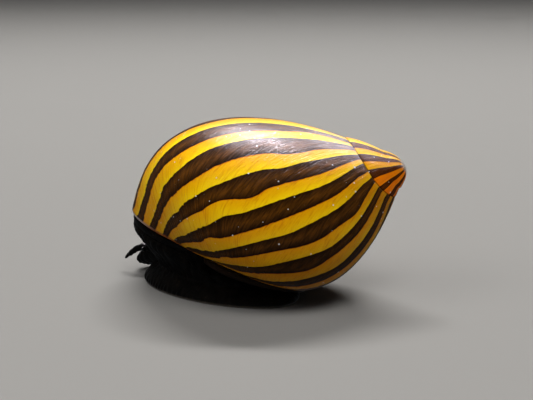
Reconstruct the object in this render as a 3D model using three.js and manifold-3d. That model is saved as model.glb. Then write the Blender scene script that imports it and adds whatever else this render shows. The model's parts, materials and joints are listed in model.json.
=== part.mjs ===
// Nerite snail at life size, resting on the sole of its foot. Millimetres, +Z up.
// +X runs from the mouth of the shell to its spire. The head points left and away (-X, +Y).
// The origin is the middle of the overall box, on the floor.
import * as THREE from 'three';
import { mergeVertices } from 'three/addons/utils/BufferGeometryUtils.js';
import Module from 'manifold-3d';

const wasm = await Module();
wasm.setup();

const DEG = Math.PI / 180;
const GAP = 0.3;

// Shell: where it grows from, how its coiling axis leans and how fast it widens
const GROWTH_CENTRE = new THREE.Vector3(17.0, -3.5, 12.6);
const AXIS_PITCH = 24.5 * DEG;
const HALF_TURN_GROWTH = 1.6;
const FULL_SIZE_AZIMUTH = 11 * DEG;
const LIP_RETURN_AZIMUTH = 60 * DEG;

// Shell profile: widest ring, spire side and base side
const WIDEST_RADIUS = 11.25;
const WIDEST_AT = 16.45;
const SPIRE_REACH = 16.8;
const SPIRE_POWER = 1.8;
const BASE_REACH = 8.5;
const BASE_POWER = 2.4;
const TIP_SCALE = 1.3;
const TIP_FADE = 2.2;
const SPIRE_SWELL = 0.34;
const TIP_DROP = 0.15;
const TIP_DROP_SPAN = 4.0;

// The base is a little fuller on the near side, where the lip joins the deck
const NEAR_FULLNESS = 0.11;
const NEAR_AZIMUTH = -80 * DEG;
const NEAR_SPREAD = 60 * DEG;

// Suture between body whorl and spire: its place on the full-size profile, and where it was older
const SUTURE_NEW = 3.93;
const SUTURE_OLD = 3.03;
const SUTURE_OLD_AZIMUTH = -155 * DEG;
const SUTURE_SHIFT_SPAN = 85 * DEG;
const APEX_AT = 1.15;
const APEX_NUB = 0.06;
const APEX_ROUNDING = 2.1;
const SUTURE_GAP = 0.35;

// Mouth of the shell: a plane pitched up at the front, with a lip, a deck and the mantle inside it
const MOUTH_PITCH = 19.3 * DEG;
const MOUTH_REACH = 13.42;
const LIP_DEPTH = 1.2;
const LIP_THICK = 0.8;
const LIP_FROM = -58 * DEG;
const LIP_TO = 150 * DEG;
const DECK_TEETH = 5;
const DECK_TOOTH = 0.35;
const DECK_TEETH_SPAN = [0.3, 0.7];
const MANTLE_INSET = 0.35;
const MANTLE_DROP = 0.6;

// Foot: an egg-shaped sole under a stalk that rises to the mouth of the shell
const HEAD_TURN = 135 * DEG;
const FOOT_HALF_LENGTH = 9.2;
const FOOT_HALF_WIDTH = 5.6;
const FOOT_BROADER_FRONT = 0.08;
const FOOT_LAYER = 1.35;
const TAIL_THINNER = 0.3;
const STALK_CENTRE = [-1.0, 1.0];
const STALK_REACH = 7.6;
const STALK_FORWARD = 1.6;
const STALK_STEPS = [[0.1, 0.2], [0.4, 0.45], [0.76, 0.75]];
const FOOT_PARTS_AT = [-3.1, 3.1];
const NECK_FROM = 4.6;
const HEAD_FROM = 7.0;
const SNOUT_FROM = 9.3;

// Sections of neck, head and snout along the way ahead: distance, height, half width, half height
const HEAD_SECTIONS = [
  [3.0, 3.2, 2.9, 2.2],
  [5.5, 2.9, 2.6, 2.0],
  [7.4, 2.4, 2.3, 1.7],
  [8.8, 1.95, 2.4, 1.45],
  [9.8, 1.5, 2.3, 1.15],
  [10.6, 1.15, 1.9, 0.8],
  [11.0, 1.0, 1.2, 0.5],
];
const MOUTH_SLIT = { ahead: 11.0, up: 0.75, halfWidth: 1.3, halfHeight: 0.16, halfDepth: 0.7 };

// Tentacles and eyes: ahead, to the animal's right, up. The left tentacle is drawn in
const TENTACLE_PATHS = {
  left: [[8.2, -1.5, 2.8], [9.3, -2.3, 2.7], [10.5, -2.6, 2.0], [11.6, -2.6, 1.2]],
  right: [[8.2, 1.5, 2.8], [9.5, 2.4, 3.4], [11.2, 3.4, 3.6], [12.8, 4.1, 3.1]],
};
const TENTACLE_RADII = [0.42, 0.34, 0.28, 0.12];
const TENTACLE_PARTED_AT = 0.5;
const EYESTALK = { ahead: 7.9, side: 2.1, up: 2.9, radius: 0.45, length: 0.7 };
const EYE_RADIUS = 0.27;
const EYE_GAP = 0.12;

// Operculum: a half disc that lies on the tail of the foot, under the deck
const OPERCULUM_CENTRE = [3.1, -2.9];
const OPERCULUM_HALF_LENGTH = 5.2;
const OPERCULUM_REACH = 4.3;
const OPERCULUM_TOP = -0.35;
const OPERCULUM_THICK = 0.6;

// How finely the surfaces are divided
const ALONG_STEP = 0.2;
const TURN_STEPS = 56;
const BODY_STEPS = 20;
const SPIRE_STEPS = 7;
const DECK_STEPS = 44;
const FOOT_STEPS = 44;
const HEAD_STEPS = 24;
const TENTACLE_STEPS = 10;

const coilAxis = new THREE.Vector3(-Math.cos(AXIS_PITCH), 0, -Math.sin(AXIS_PITCH));
const coilUp = new THREE.Vector3(-Math.sin(AXIS_PITCH), 0, Math.cos(AXIS_PITCH));
const coilAway = new THREE.Vector3(0, 1, 0);
const mouthNormal = new THREE.Vector3(-Math.sin(MOUTH_PITCH), 0, -Math.cos(MOUTH_PITCH));
const ahead = new THREE.Vector3(Math.cos(HEAD_TURN), Math.sin(HEAD_TURN), 0);
const aside = new THREE.Vector3(-ahead.y, ahead.x, 0).negate();

const smooth = (value) => {
  const t = THREE.MathUtils.clamp(value, 0, 1);
  return t * t * (3 - 2 * t);
};

const spread = (from, to, steps) =>
  Array.from({ length: steps + 1 }, (_, i) => from + ((to - from) * i) / steps);

const turns = spread(-Math.PI, Math.PI, TURN_STEPS).slice(0, TURN_STEPS);

// Size of the whorl at one azimuth: even growth, then the lip swings back to the older whorl
function growth(azimuth) {
  const rate = Math.log(HALF_TURN_GROWTH) / Math.PI;
  const even = (a) => Math.exp(rate * (a - FULL_SIZE_AZIMUTH));
  if (azimuth <= LIP_RETURN_AZIMUTH) return even(azimuth);
  const span = Math.PI - LIP_RETURN_AZIMUTH;
  const t = (azimuth - LIP_RETURN_AZIMUTH) / span;
  const start = even(LIP_RETURN_AZIMUTH);
  const end = even(-Math.PI);
  const startShare = 2 * t ** 3 - 3 * t ** 2 + 1 + (t ** 3 - 2 * t ** 2 + t) * span * rate;
  const endShare = 3 * t ** 2 - 2 * t ** 3 + (t ** 3 - t ** 2) * span * rate;
  return startShare * start + endShare * end;
}

// Radius of the full-size profile at a distance along the coiling axis
function profileRadius(azimuth, along) {
  if (along < WIDEST_AT) {
    const x = Math.min((WIDEST_AT - along) / SPIRE_REACH, 1);
    return WIDEST_RADIUS * (1 - x ** SPIRE_POWER);
  }
  const aside = Math.min(Math.abs(azimuth - NEAR_AZIMUTH) / NEAR_SPREAD, 1);
  const fullness = 1 + NEAR_FULLNESS * Math.cos(aside * Math.PI / 2) ** 2;
  const x = Math.min((along - WIDEST_AT) / (BASE_REACH * fullness), 1);
  return WIDEST_RADIUS * (1 - x ** BASE_POWER) ** (1 / BASE_POWER);
}

// Where the suture lies on the profile; it creeps from its old place to its new one and back
function sutureAt(azimuth) {
  const grown = smooth((azimuth - SUTURE_OLD_AZIMUTH) / SUTURE_SHIFT_SPAN);
  const back = smooth((azimuth - LIP_RETURN_AZIMUTH) / (Math.PI - LIP_RETURN_AZIMUTH));
  return THREE.MathUtils.lerp(SUTURE_OLD, SUTURE_NEW, grown - back);
}

// A point of the coiling axis, which droops a little towards the tip
function axisPoint(reach, along) {
  return GROWTH_CENTRE.clone()
    .addScaledVector(coilAxis, reach)
    .addScaledVector(coilUp, -TIP_DROP * (1 - smooth(along / TIP_DROP_SPAN)));
}

function shellPoint(azimuth, along) {
  const size = THREE.MathUtils.lerp(TIP_SCALE, growth(azimuth), smooth(along / TIP_FADE));
  const swelling = Math.sin(Math.PI * Math.min(along / SUTURE_NEW, 1));
  const swell = SPIRE_SWELL * Math.max(Math.cos(azimuth), 0) * swelling;
  const radius = size * profileRadius(azimuth, along) + swell;
  return axisPoint(size * along, along)
    .addScaledVector(coilUp, radius * Math.cos(azimuth))
    .addScaledVector(coilAway, radius * Math.sin(azimuth));
}

// Height above the plane of the mouth, zero in the plane
function aboveMouth(point) {
  return MOUTH_REACH - point.clone().sub(GROWTH_CENTRE).dot(mouthNormal);
}

// Distance along the profile at which the shell comes down to a height above the mouth,
// or at which it comes lowest where it doesn't reach that height
function alongAtHeight(azimuth, height) {
  const heightAt = (along) => aboveMouth(shellPoint(azimuth, along));
  let low = WIDEST_AT / 2;
  let high = WIDEST_AT;
  while (heightAt(high) > height && heightAt(high + ALONG_STEP) < heightAt(high)) {
    low = high;
    high += ALONG_STEP;
  }
  if (heightAt(high) > height) return high;
  for (let i = 0; i < 30; i += 1) {
    const middle = (low + high) / 2;
    if (heightAt(middle) > height) low = middle;
    else high = middle;
  }
  return low;
}

const rimPoint = (azimuth, height) => shellPoint(azimuth, alongAtHeight(azimuth, height));

// A point at plan position x, y and a given height above the plane of the mouth
function mouthPoint(x, y, height) {
  const point = new THREE.Vector3(x, y, 0);
  const rise = (height - aboveMouth(point)) / Math.cos(MOUTH_PITCH);
  return point.setZ(rise);
}

const mouthCentre = mouthPoint(0, 0, 0);

function insetRim(azimuth, height, inset) {
  const rim = rimPoint(azimuth, height);
  const inward = mouthPoint(mouthCentre.x, mouthCentre.y, height).sub(rim).normalize();
  return rim.addScaledVector(inward, inset);
}

// A closed body through rings of equal count, closed at both ends by fans
function loft(rings, startPole, endPole) {
  const count = rings[0].length;
  const middle = (ring) => ring.reduce((sum, p) => sum.add(p), new THREE.Vector3()).divideScalar(count);
  const points = [startPole ?? middle(rings[0]), ...rings.flat(), endPole ?? middle(rings.at(-1))];
  const last = points.length - 1;
  const faces = [];
  for (let i = 0; i < count; i += 1) {
    const next = (i + 1) % count;
    faces.push(0, 1 + next, 1 + i);
    faces.push(last, last - count + i, last - count + next);
    for (let ring = 0; ring < rings.length - 1; ring += 1) {
      const here = 1 + ring * count;
      const there = here + count;
      faces.push(here + i, here + next, there + next);
      faces.push(here + i, there + next, there + i);
    }
  }
  return outwardBody(points, faces);
}

// Builds the geometry with its faces turned outward, whichever way the rings ran
function outwardBody(points, faces) {
  let volume = 0;
  for (let i = 0; i < faces.length; i += 3) {
    const [a, b, c] = faces.slice(i, i + 3).map((k) => points[k]);
    volume += a.dot(new THREE.Vector3().crossVectors(b, c));
  }
  const ordered = volume > 0 ? faces : faces.slice().reverse();
  const geometry = new THREE.BufferGeometry();
  const numbers = points.flatMap((p) => p.toArray());
  geometry.setAttribute('position', new THREE.Float32BufferAttribute(numbers, 3));
  geometry.setIndex(ordered);
  return geometry;
}

function toSolid(geometry) {
  const plain = geometry.clone();
  plain.deleteAttribute('normal');
  plain.deleteAttribute('uv');
  const merged = mergeVertices(plain, 1e-4);
  return new wasm.Manifold(new wasm.Mesh({
    numProp: 3,
    vertProperties: new Float32Array(merged.attributes.position.array),
    triVerts: new Uint32Array(merged.index.array),
  }));
}

// The largest closed surface of a solid, as a geometry
function toGeometry(solid) {
  const pieces = solid.decompose();
  const largest = pieces.reduce((best, piece) => (piece.volume() > best.volume() ? piece : best));
  const mesh = largest.getMesh();
  const geometry = new THREE.BufferGeometry();
  geometry.setAttribute('position', new THREE.Float32BufferAttribute(mesh.vertProperties, 3));
  geometry.setIndex(new THREE.Uint32BufferAttribute(mesh.triVerts, 1));
  return geometry;
}

// A large block that fills one side of a plane, to cut with
function halfSpace(point, normal) {
  const size = 80;
  const block = new THREE.BoxGeometry(size, size, size);
  block.translate(0, 0, size / 2);
  block.applyQuaternion(new THREE.Quaternion().setFromUnitVectors(new THREE.Vector3(0, 0, 1), normal));
  block.translate(point.x, point.y, point.z);
  return toSolid(block);
}

// Shell pieces
function bodyWhorl() {
  const end = turns.map((a) => alongAtHeight(a, LIP_DEPTH));
  const rings = spread(0, 1, BODY_STEPS).map((t) =>
    turns.map((a, i) => shellPoint(a, THREE.MathUtils.lerp(sutureAt(a), end[i], t))));
  const crown = axisPoint(SUTURE_OLD, SUTURE_OLD);
  return loft(rings, crown, mouthPoint(0, -1, LIP_DEPTH));
}

function spire() {
  const rings = spread(0, 1, SPIRE_STEPS).map((t) =>
    turns.map((a) => shellPoint(a, THREE.MathUtils.lerp(APEX_AT + GAP, sutureAt(a) - SUTURE_GAP, t))));
  const front = axisPoint(APEX_AT + GAP, APEX_AT + GAP);
  const back = axisPoint(SUTURE_OLD - SUTURE_GAP, SUTURE_OLD);
  return loft(rings, front, back);
}

function apex() {
  const tip = axisPoint(-APEX_NUB, 0);
  const rings = spread(0.15, 1, 5).map((t) => turns.map((a) => {
    const edge = shellPoint(a, APEX_AT);
    const depth = edge.clone().sub(tip).dot(coilAxis);
    return tip.clone().lerp(edge, t).addScaledVector(coilAxis, depth * (t ** APEX_ROUNDING - t));
  }));
  const back = axisPoint(APEX_AT, APEX_AT);
  return loft(rings, tip, back);
}

const lipTop = LIP_DEPTH - GAP;

function outerLip() {
  const sections = spread(LIP_FROM, LIP_TO, 34).map((a) => [
    rimPoint(a, lipTop),
    rimPoint(a, lipTop / 2),
    rimPoint(a, 0),
    insetRim(a, 0, LIP_THICK * 0.6),
    insetRim(a, lipTop / 2, LIP_THICK),
    insetRim(a, lipTop, LIP_THICK),
  ]);
  return loft(sections);
}

// The straight inner edge of the deck, from the near front of the mouth to its back corner
function deckEdge(height, shift, steps, toothed) {
  const from = rimPoint(LIP_FROM, 0);
  const to = rimPoint(LIP_TO, 0);
  const across = new THREE.Vector3(from.y - to.y, to.x - from.x, 0).normalize();
  const [teethFrom, teethTo] = DECK_TEETH_SPAN;
  return spread(0, 1, steps).map((t) => {
    const along = (t - teethFrom) / (teethTo - teethFrom);
    const bitten = toothed && along > 0 && along < 1;
    const tooth = bitten ? DECK_TOOTH * Math.abs(Math.sin(DECK_TEETH * Math.PI * along)) : 0;
    const bow = shift + tooth - 0.5 * Math.sin(Math.PI * t);
    const place = from.clone().lerp(to, t).addScaledVector(across, bow);
    return mouthPoint(place.x, place.y, height);
  });
}

// The flat shelf behind the mouth: sections from the rim across to the toothed inner edge
function columellaDeck() {
  const heights = [lipTop, lipTop / 2, 0];
  const edges = heights.map((height) => deckEdge(height, -0.1, DECK_STEPS, true).reverse());
  const azimuths = spread(LIP_TO + 3 * DEG, 2 * Math.PI + LIP_FROM - 3 * DEG, DECK_STEPS);
  const sections = azimuths.map((azimuth, i) => {
    const wrapped = azimuth > Math.PI ? azimuth - 2 * Math.PI : azimuth;
    const rim = heights.map((height) => rimPoint(wrapped, height));
    return [...rim, ...edges.map((edge) => edge[i]).reverse()];
  });
  return loft(sections.slice(1, -1));
}

function mouthRing(height, inset) {
  const rim = spread(LIP_FROM + 2 * DEG, LIP_TO - 2 * DEG, 32).map((a) => insetRim(a, height, inset));
  const edge = deckEdge(height, DECK_TOOTH + GAP, 14, false).reverse();
  return [...rim, ...edge.slice(1, -1)];
}

function mantleEdge() {
  const plug = LIP_THICK + GAP;
  return loft([
    mouthRing(lipTop, plug),
    mouthRing(-GAP, plug),
    mouthRing(-GAP, MANTLE_INSET),
    mouthRing(-GAP - MANTLE_DROP / 2, MANTLE_INSET * 0.7),
    mouthRing(-GAP - MANTLE_DROP, MANTLE_INSET * 1.6),
  ]);
}

// A point on the foot, given by its place ahead of and beside the middle of the sole
const footPlace = (forward, side, up) =>
  new THREE.Vector3(0, 0, up).addScaledVector(ahead, forward).addScaledVector(aside, side);

// Edge of the sole in one plan direction, egg-shaped with a broader front
function soleEdge(direction, share, up, grow = 0) {
  const turn = direction - HEAD_TURN;
  const forward = Math.cos(turn);
  const side = -Math.sin(turn) * (1 + FOOT_BROADER_FRONT * forward);
  const lower = 1 - TAIL_THINNER * (1 - forward) / 2;
  const length = FOOT_HALF_LENGTH * share + grow;
  const width = FOOT_HALF_WIDTH * share + grow;
  return footPlace(length * forward, width * side, up * lower + grow);
}

// Where a ray from the stalk's centre leaves a plan outline
function reachOf(outline, direction) {
  const [cx, cy] = STALK_CENTRE;
  const dx = Math.cos(direction);
  const dy = Math.sin(direction);
  let reach = 0;
  outline.forEach((a, i) => {
    const b = outline[(i + 1) % outline.length];
    const det = dx * (a.y - b.y) - dy * (a.x - b.x);
    const along = ((a.x - cx) * (a.y - b.y) - (a.y - cy) * (a.x - b.x)) / det;
    const share = (dx * (a.y - cy) - dy * (a.x - cx)) / det;
    if (share >= 0 && share <= 1 && along > reach) reach = along;
  });
  return reach;
}

const footDirections = spread(0, 2 * Math.PI, FOOT_STEPS).slice(0, FOOT_STEPS);
const footRing = (share, up, grow) => footDirections.map((d) => soleEdge(d, share, up, grow));

// The spread foot, from its flat sole up to the waist under the stalk
function footLobe(grow) {
  return loft([
    footRing(0.8, 2.0, grow),
    footRing(0.88, 1.5, grow),
    footRing(0.96, 0.9, grow),
    footRing(1.0, 0.35, grow),
    footRing(0.97, 0, 0),
  ]);
}

// The stalk that carries the shell, from the mouth of the shell down into the foot
function stalkBody() {
  const top = -2 * GAP - MANTLE_DROP;
  const outline = mouthRing(top, MANTLE_INSET);
  const topRing = footDirections.map((d) => {
    const reach = Math.min(reachOf(outline, d), STALK_REACH - STALK_FORWARD * Math.cos(d));
    return mouthPoint(STALK_CENTRE[0] + reach * Math.cos(d), STALK_CENTRE[1] + reach * Math.sin(d), top);
  });
  const waist = footRing(0.78, 1.9, 0);
  const between = (share, rise) => topRing.map((p, i) => {
    const q = waist[i];
    return new THREE.Vector3().lerpVectors(p, q, share).setZ(THREE.MathUtils.lerp(p.z, q.z, rise));
  });
  const steps = STALK_STEPS.map(([inward, down]) => between(inward, down));
  return loft([topRing, ...steps, waist, footRing(0.6, 1.55, 0)]);
}

function neckAndHead(grow) {
  const rings = HEAD_SECTIONS.map(([forward, up, wide, high]) =>
    spread(0, 2 * Math.PI, HEAD_STEPS).slice(0, HEAD_STEPS).map((a) =>
      footPlace(forward, (wide + grow) * Math.cos(a), up + (high + grow) * Math.sin(a))));
  return loft(rings);
}

function operculum(grow) {
  const along = rimPoint(LIP_TO, 0).sub(rimPoint(LIP_FROM, 0)).setZ(0).normalize();
  const out = new THREE.Vector3(along.y, -along.x, 0);
  const ring = (height, inset) => spread(0, Math.PI, 18).map((a) => {
    const place = along.clone().multiplyScalar((OPERCULUM_HALF_LENGTH - inset) * Math.cos(a));
    place.addScaledVector(out, (OPERCULUM_REACH - inset) * Math.sin(a) ** 0.8 + Math.min(inset, 0));
    return mouthPoint(OPERCULUM_CENTRE[0] + place.x, OPERCULUM_CENTRE[1] + place.y, height);
  });
  const low = OPERCULUM_TOP - OPERCULUM_THICK;
  return loft([
    ring(OPERCULUM_TOP + grow, 0.25 - grow),
    ring(OPERCULUM_TOP - 0.15, -grow),
    ring(low - grow, 0.1 - grow),
  ]);
}

// A tapering tube through a path, with rounded ends
function tube(path, radii, from, to) {
  const curve = new THREE.CatmullRomCurve3(path);
  const radiusAt = (t) => {
    const place = t * (radii.length - 1);
    const i = Math.min(Math.floor(place), radii.length - 2);
    return THREE.MathUtils.lerp(radii[i], radii[i + 1], place - i);
  };
  const rings = spread(from, to, TENTACLE_STEPS).map((t) => {
    const centre = curve.getPoint(t);
    const tangent = curve.getTangent(t);
    const side = new THREE.Vector3().crossVectors(tangent, new THREE.Vector3(0, 0, 1)).normalize();
    const up = new THREE.Vector3().crossVectors(side, tangent);
    return spread(0, 2 * Math.PI, 10).slice(0, 10).map((a) => {
      const outward = side.clone().multiplyScalar(Math.cos(a)).addScaledVector(up, Math.sin(a));
      return centre.clone().addScaledVector(outward, radiusAt(t));
    });
  });
  return loft(rings);
}

function ball(centre, radii, turn, steps) {
  const geometry = new THREE.SphereGeometry(1, steps, Math.round(steps * 0.6));
  geometry.scale(...radii);
  geometry.rotateZ(turn);
  geometry.translate(centre.x, centre.y, centre.z);
  return geometry;
}

// Trims a soft solid clear of the shell's mouth
function underShell(solid) {
  const top = mouthPoint(0, 0, -2 * GAP - MANTLE_DROP);
  return solid.subtract(halfSpace(top, mouthNormal.clone().negate()));
}

// Parts the soft body with thin cuts across the way ahead and above the foot
function partBody(body, { from = -30, to = 30, above = null, below = null }) {
  const half = GAP / 2;
  let piece = body
    .subtract(halfSpace(footPlace(from + half, 0, 0), ahead.clone().negate()))
    .subtract(halfSpace(footPlace(to - half, 0, 0), ahead));
  if (above !== null) {
    piece = piece.subtract(halfSpace(new THREE.Vector3(0, 0, above + half), new THREE.Vector3(0, 0, -1)));
  }
  if (below !== null) {
    piece = piece.subtract(halfSpace(new THREE.Vector3(0, 0, below - half), new THREE.Vector3(0, 0, 1)));
  }
  return piece;
}

function snout(solid) {
  const { ahead: forward, up, halfWidth, halfHeight, halfDepth } = MOUTH_SLIT;
  const slit = ball(footPlace(forward, 0, up), [halfDepth, halfWidth, halfHeight], HEAD_TURN, 16);
  return partBody(solid, { from: SNOUT_FROM }).subtract(toSolid(slit));
}

const meshes = [];
function addPart(name, geometry, color, roughness) {
  const material = new THREE.MeshStandardMaterial({ color, roughness, metalness: 0 });
  const mesh = new THREE.Mesh(geometry, material);
  mesh.name = name;
  meshes.push(mesh);
}

addPart('shell_body_whorl', bodyWhorl(), 0xc08a18, 0.25);
addPart('shell_spire', spire(), 0xd07a14, 0.3);
addPart('shell_apex', apex(), 0xb8a890, 0.6);
addPart('shell_outer_lip', outerLip(), 0xcfc2a8, 0.35);
addPart('shell_columella_deck', columellaDeck(), 0xe6dcc4, 0.3);
addPart('mantle_edge', mantleEdge(), 0x15110d, 0.5);

const SKIN = 0x17120e;
const lobe = toSolid(footLobe(0)).subtract(toSolid(operculum(GAP)));
const headAndNeck = partBody(underShell(toSolid(neckAndHead(0))), { from: NECK_FROM })
  .subtract(toSolid(footLobe(GAP)));
const socket = partBody(toSolid(neckAndHead(GAP)), { from: NECK_FROM - GAP });
const stalk = toSolid(stalkBody()).subtract(socket).subtract(toSolid(operculum(GAP)));
const grownHead = toSolid(neckAndHead(GAP / 2));
const [tailFrom, frontFrom] = FOOT_PARTS_AT;
const softParts = {
  snout: snout(headAndNeck),
  head: partBody(headAndNeck, { from: HEAD_FROM, to: SNOUT_FROM }),
  neck: partBody(headAndNeck, { to: HEAD_FROM }),
  stalk: partBody(stalk.add(lobe), { above: FOOT_LAYER }),
  foot_front: partBody(lobe, { from: frontFrom, below: FOOT_LAYER }),
  foot_middle: partBody(lobe, { from: tailFrom, to: frontFrom, below: FOOT_LAYER }),
  foot_tail: partBody(lobe, { to: tailFrom, below: FOOT_LAYER }),
};
Object.entries(softParts).forEach(([name, solid]) => addPart(name, toGeometry(solid), SKIN, 0.55));
addPart('operculum', operculum(0), 0x4a3a30, 0.4);

Object.entries(TENTACLE_PATHS).forEach(([side, places]) => {
  const path = places.map((place) => footPlace(...place));
  const parted = (part, from, to) => {
    const solid = toSolid(tube(path, TENTACLE_RADII, from, to)).subtract(grownHead);
    addPart(`tentacle_${side}_${part}`, toGeometry(solid), SKIN, 0.45);
  };
  parted('base', 0, TENTACLE_PARTED_AT - 0.03);
  parted('tip', TENTACLE_PARTED_AT + 0.03, 1);
  const out = Math.sign(places[0][1]);
  const { ahead: forward, side: outward, up, radius, length } = EYESTALK;
  const knobAt = footPlace(forward, out * outward, up);
  const knob = toSolid(ball(knobAt, [radius, length, radius], HEAD_TURN, 14));
  addPart(`eyestalk_${side}`, toGeometry(knob.subtract(grownHead)), SKIN, 0.45);
  const eyeAt = footPlace(forward, out * (outward + length + EYE_RADIUS + EYE_GAP), up);
  addPart(`eye_${side}`, ball(eyeAt, [EYE_RADIUS, EYE_RADIUS, EYE_RADIUS], 0, 12), 0x050505, 0.1);
});

const snail = new THREE.Group();
snail.add(...meshes);
const box = new THREE.Box3().setFromObject(snail);
const middle = box.getCenter(new THREE.Vector3());
snail.position.set(-middle.x, -middle.y, -box.min.z);

const group = new THREE.Group();
group.add(snail);
export default group;
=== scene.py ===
"""A nerite snail at life size: banded shell, dark foot and head, on a plain pale floor.

Shapes are worked out in millimetres, with the middle of the sole at zero, as the solids are. They are
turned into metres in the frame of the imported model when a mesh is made.
"""

import json
import logging
import math
import random
from dataclasses import dataclass, field
from enum import Enum

import bmesh
import bpy
import numpy as np
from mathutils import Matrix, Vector, noise


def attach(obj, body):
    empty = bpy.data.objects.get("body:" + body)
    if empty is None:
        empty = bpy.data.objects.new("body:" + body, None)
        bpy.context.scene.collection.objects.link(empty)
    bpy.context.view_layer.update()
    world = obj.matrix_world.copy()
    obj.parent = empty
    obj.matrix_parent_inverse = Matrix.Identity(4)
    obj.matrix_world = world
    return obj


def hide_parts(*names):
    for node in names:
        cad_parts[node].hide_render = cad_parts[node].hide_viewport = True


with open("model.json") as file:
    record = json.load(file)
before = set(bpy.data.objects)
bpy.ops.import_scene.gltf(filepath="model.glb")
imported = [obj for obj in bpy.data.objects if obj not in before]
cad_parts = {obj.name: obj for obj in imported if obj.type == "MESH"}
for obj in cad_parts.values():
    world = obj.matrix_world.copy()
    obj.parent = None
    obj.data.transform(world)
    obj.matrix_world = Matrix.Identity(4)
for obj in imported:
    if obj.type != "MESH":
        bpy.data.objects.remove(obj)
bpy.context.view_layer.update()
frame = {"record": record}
SOLE = Vector(frame["record"]["mounts"][0]["pos_m"])

DEG = math.pi / 180
MM = 0.001
TINY = 1e-12
RISE = np.array([0.0, 0.0, 1.0])
MIDDLE = Vector((0, 0, 0.01))
LOG = logging.getLogger("nerite")

Points = np.ndarray


class Slot(Enum):
    """The record's material slots."""

    SHELL = "shell"
    APEX = "apex"
    INSIDE = "shell_inside"
    FLESH = "flesh"
    OPERCULUM = "operculum"
    EYE = "eye"


class Use(Enum):
    """What a light is for."""

    FILL = "fill"
    GLOSS = "gloss"


def smooth(value: Points) -> Points:
    """A soft step from 0 to 1."""
    t = np.clip(value, 0.0, 1.0)
    return t * t * (3 - 2 * t)


def eased(value: Points, span: tuple) -> Points:
    """A soft step from 0 where a range starts to 1 where it is full."""
    return smooth((value - span[0]) / (span[1] - span[0]))


def unit(vectors: Points) -> Points:
    """Each vector at length one."""
    return vectors / np.maximum(np.linalg.norm(vectors, axis=-1, keepdims=True), TINY)


def full_turn(count: int) -> Points:
    """Directions evenly round a full turn, from zero."""
    return np.linspace(0, 2 * math.pi, count, endpoint=False)


def linked(name: str, data: bpy.types.ID) -> bpy.types.Object:
    """A new object with its data, put into the scene.

    Args:
        name: the object's name.
        data: its mesh, light or camera.

    Returns:
        The object.
    """
    obj = bpy.data.objects.new(name, data)
    bpy.context.scene.collection.objects.link(obj)
    return obj


@dataclass
class Surface:
    """A mesh in the making: points in millimetres, faces, and a value per face corner for each layer."""

    points: list = field(default_factory=list)
    faces: list = field(default_factory=list)
    layers: dict = field(default_factory=dict)

    def add_rings(self, rings: Points, start: Points, end: Points) -> None:
        """Adds closed rings joined by quads, with a fan to a pole at either end.

        Args:
            rings: points as (ring, place on the ring, xyz).
            start: the pole before the first ring.
            end: the pole after the last ring.
        """
        base = len(self.points)
        count, around = rings.shape[:2]
        self.points.extend(rings.reshape(-1, 3))
        steps = [(i, (i + 1) % around) for i in range(around)]
        for ring in range(count - 1):
            here, there = base + ring * around, base + (ring + 1) * around
            self.faces.extend((here + i, here + k, there + k, there + i) for i, k in steps)
        for pole, ring in ((start, 0), (end, count - 1)):
            self.points.append(np.asarray(pole, float))
            tip, here = len(self.points) - 1, base + ring * around
            pairs = steps if ring else [(k, i) for i, k in steps]
            self.faces.extend((tip, here + i, here + k) for i, k in pairs)

    def add_solid(self, rings: Points) -> None:
        """Adds a closed body through rings, its faces turned outward whichever way the rings run.

        Args:
            rings: points as (ring, place on the ring, xyz).
        """
        start, end = rings[0].mean(axis=0), rings[-1].mean(axis=0)
        body = Surface()
        body.add_rings(rings, start, end)
        points = np.array(body.points)
        volume = sum(
            float(points[face[0]] @ np.cross(points[face[k]], points[face[k + 1]]))
            for face in body.faces
            for k in range(1, len(face) - 1)
        )
        base = len(self.points)
        self.points.extend(body.points)
        faces = body.faces if volume > 0 else [face[::-1] for face in body.faces]
        self.faces.extend([tuple(index + base for index in face) for face in faces])

    def raw(self, name: str) -> bpy.types.Object:
        """Makes a helper object in millimetres, to be worked on further.

        Args:
            name: the object's name.

        Returns:
            The object.
        """
        mesh = bpy.data.meshes.new(name)
        mesh.from_pydata([tuple(p) for p in self.points], [], self.faces)
        return linked(name, mesh)

    def build(self, name: str) -> bpy.types.Object:
        """Makes the Blender object, in metres in the row's frame, smooth shaded.

        Args:
            name: the object's name.

        Returns:
            The new object, linked into the scene.
        """
        mesh = bpy.data.meshes.new(name)
        mesh.from_pydata([tuple(p) for p in to_row(np.array(self.points))], [], self.faces)
        for layer, values in self.layers.items():
            attribute = mesh.attributes.new(layer, "FLOAT", "CORNER")
            attribute.data.foreach_set("value", np.asarray(values, np.float32))
        mesh.shade_smooth()
        mesh.update()
        return linked(name, mesh)


def closed(name: str, rings: Points) -> bpy.types.Object:
    """A closed piece through rings.

    Args:
        name: the piece's name.
        rings: points as (ring, place on the ring, xyz).

    Returns:
        The piece.
    """
    surface = Surface()
    surface.add_solid(rings)
    return surface.build(name)


def to_row(points: Points) -> Points:
    """Millimetres about the sole to metres in the row's frame."""
    return np.asarray(points, float).reshape(-1, 3) * MM + np.array(SOLE)


def bake(obj: bpy.types.Object) -> bpy.types.Object:
    """Replaces a helper object by one without modifiers.

    Args:
        obj: the helper object, which is removed.

    Returns:
        An object with the finished mesh, not linked into the scene.
    """
    bpy.context.view_layer.update()
    depsgraph = bpy.context.evaluated_depsgraph_get()
    mesh = bpy.data.meshes.new_from_object(obj.evaluated_get(depsgraph))
    name = obj.name
    bpy.data.objects.remove(obj)
    return bpy.data.objects.new(name, mesh)


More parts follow.
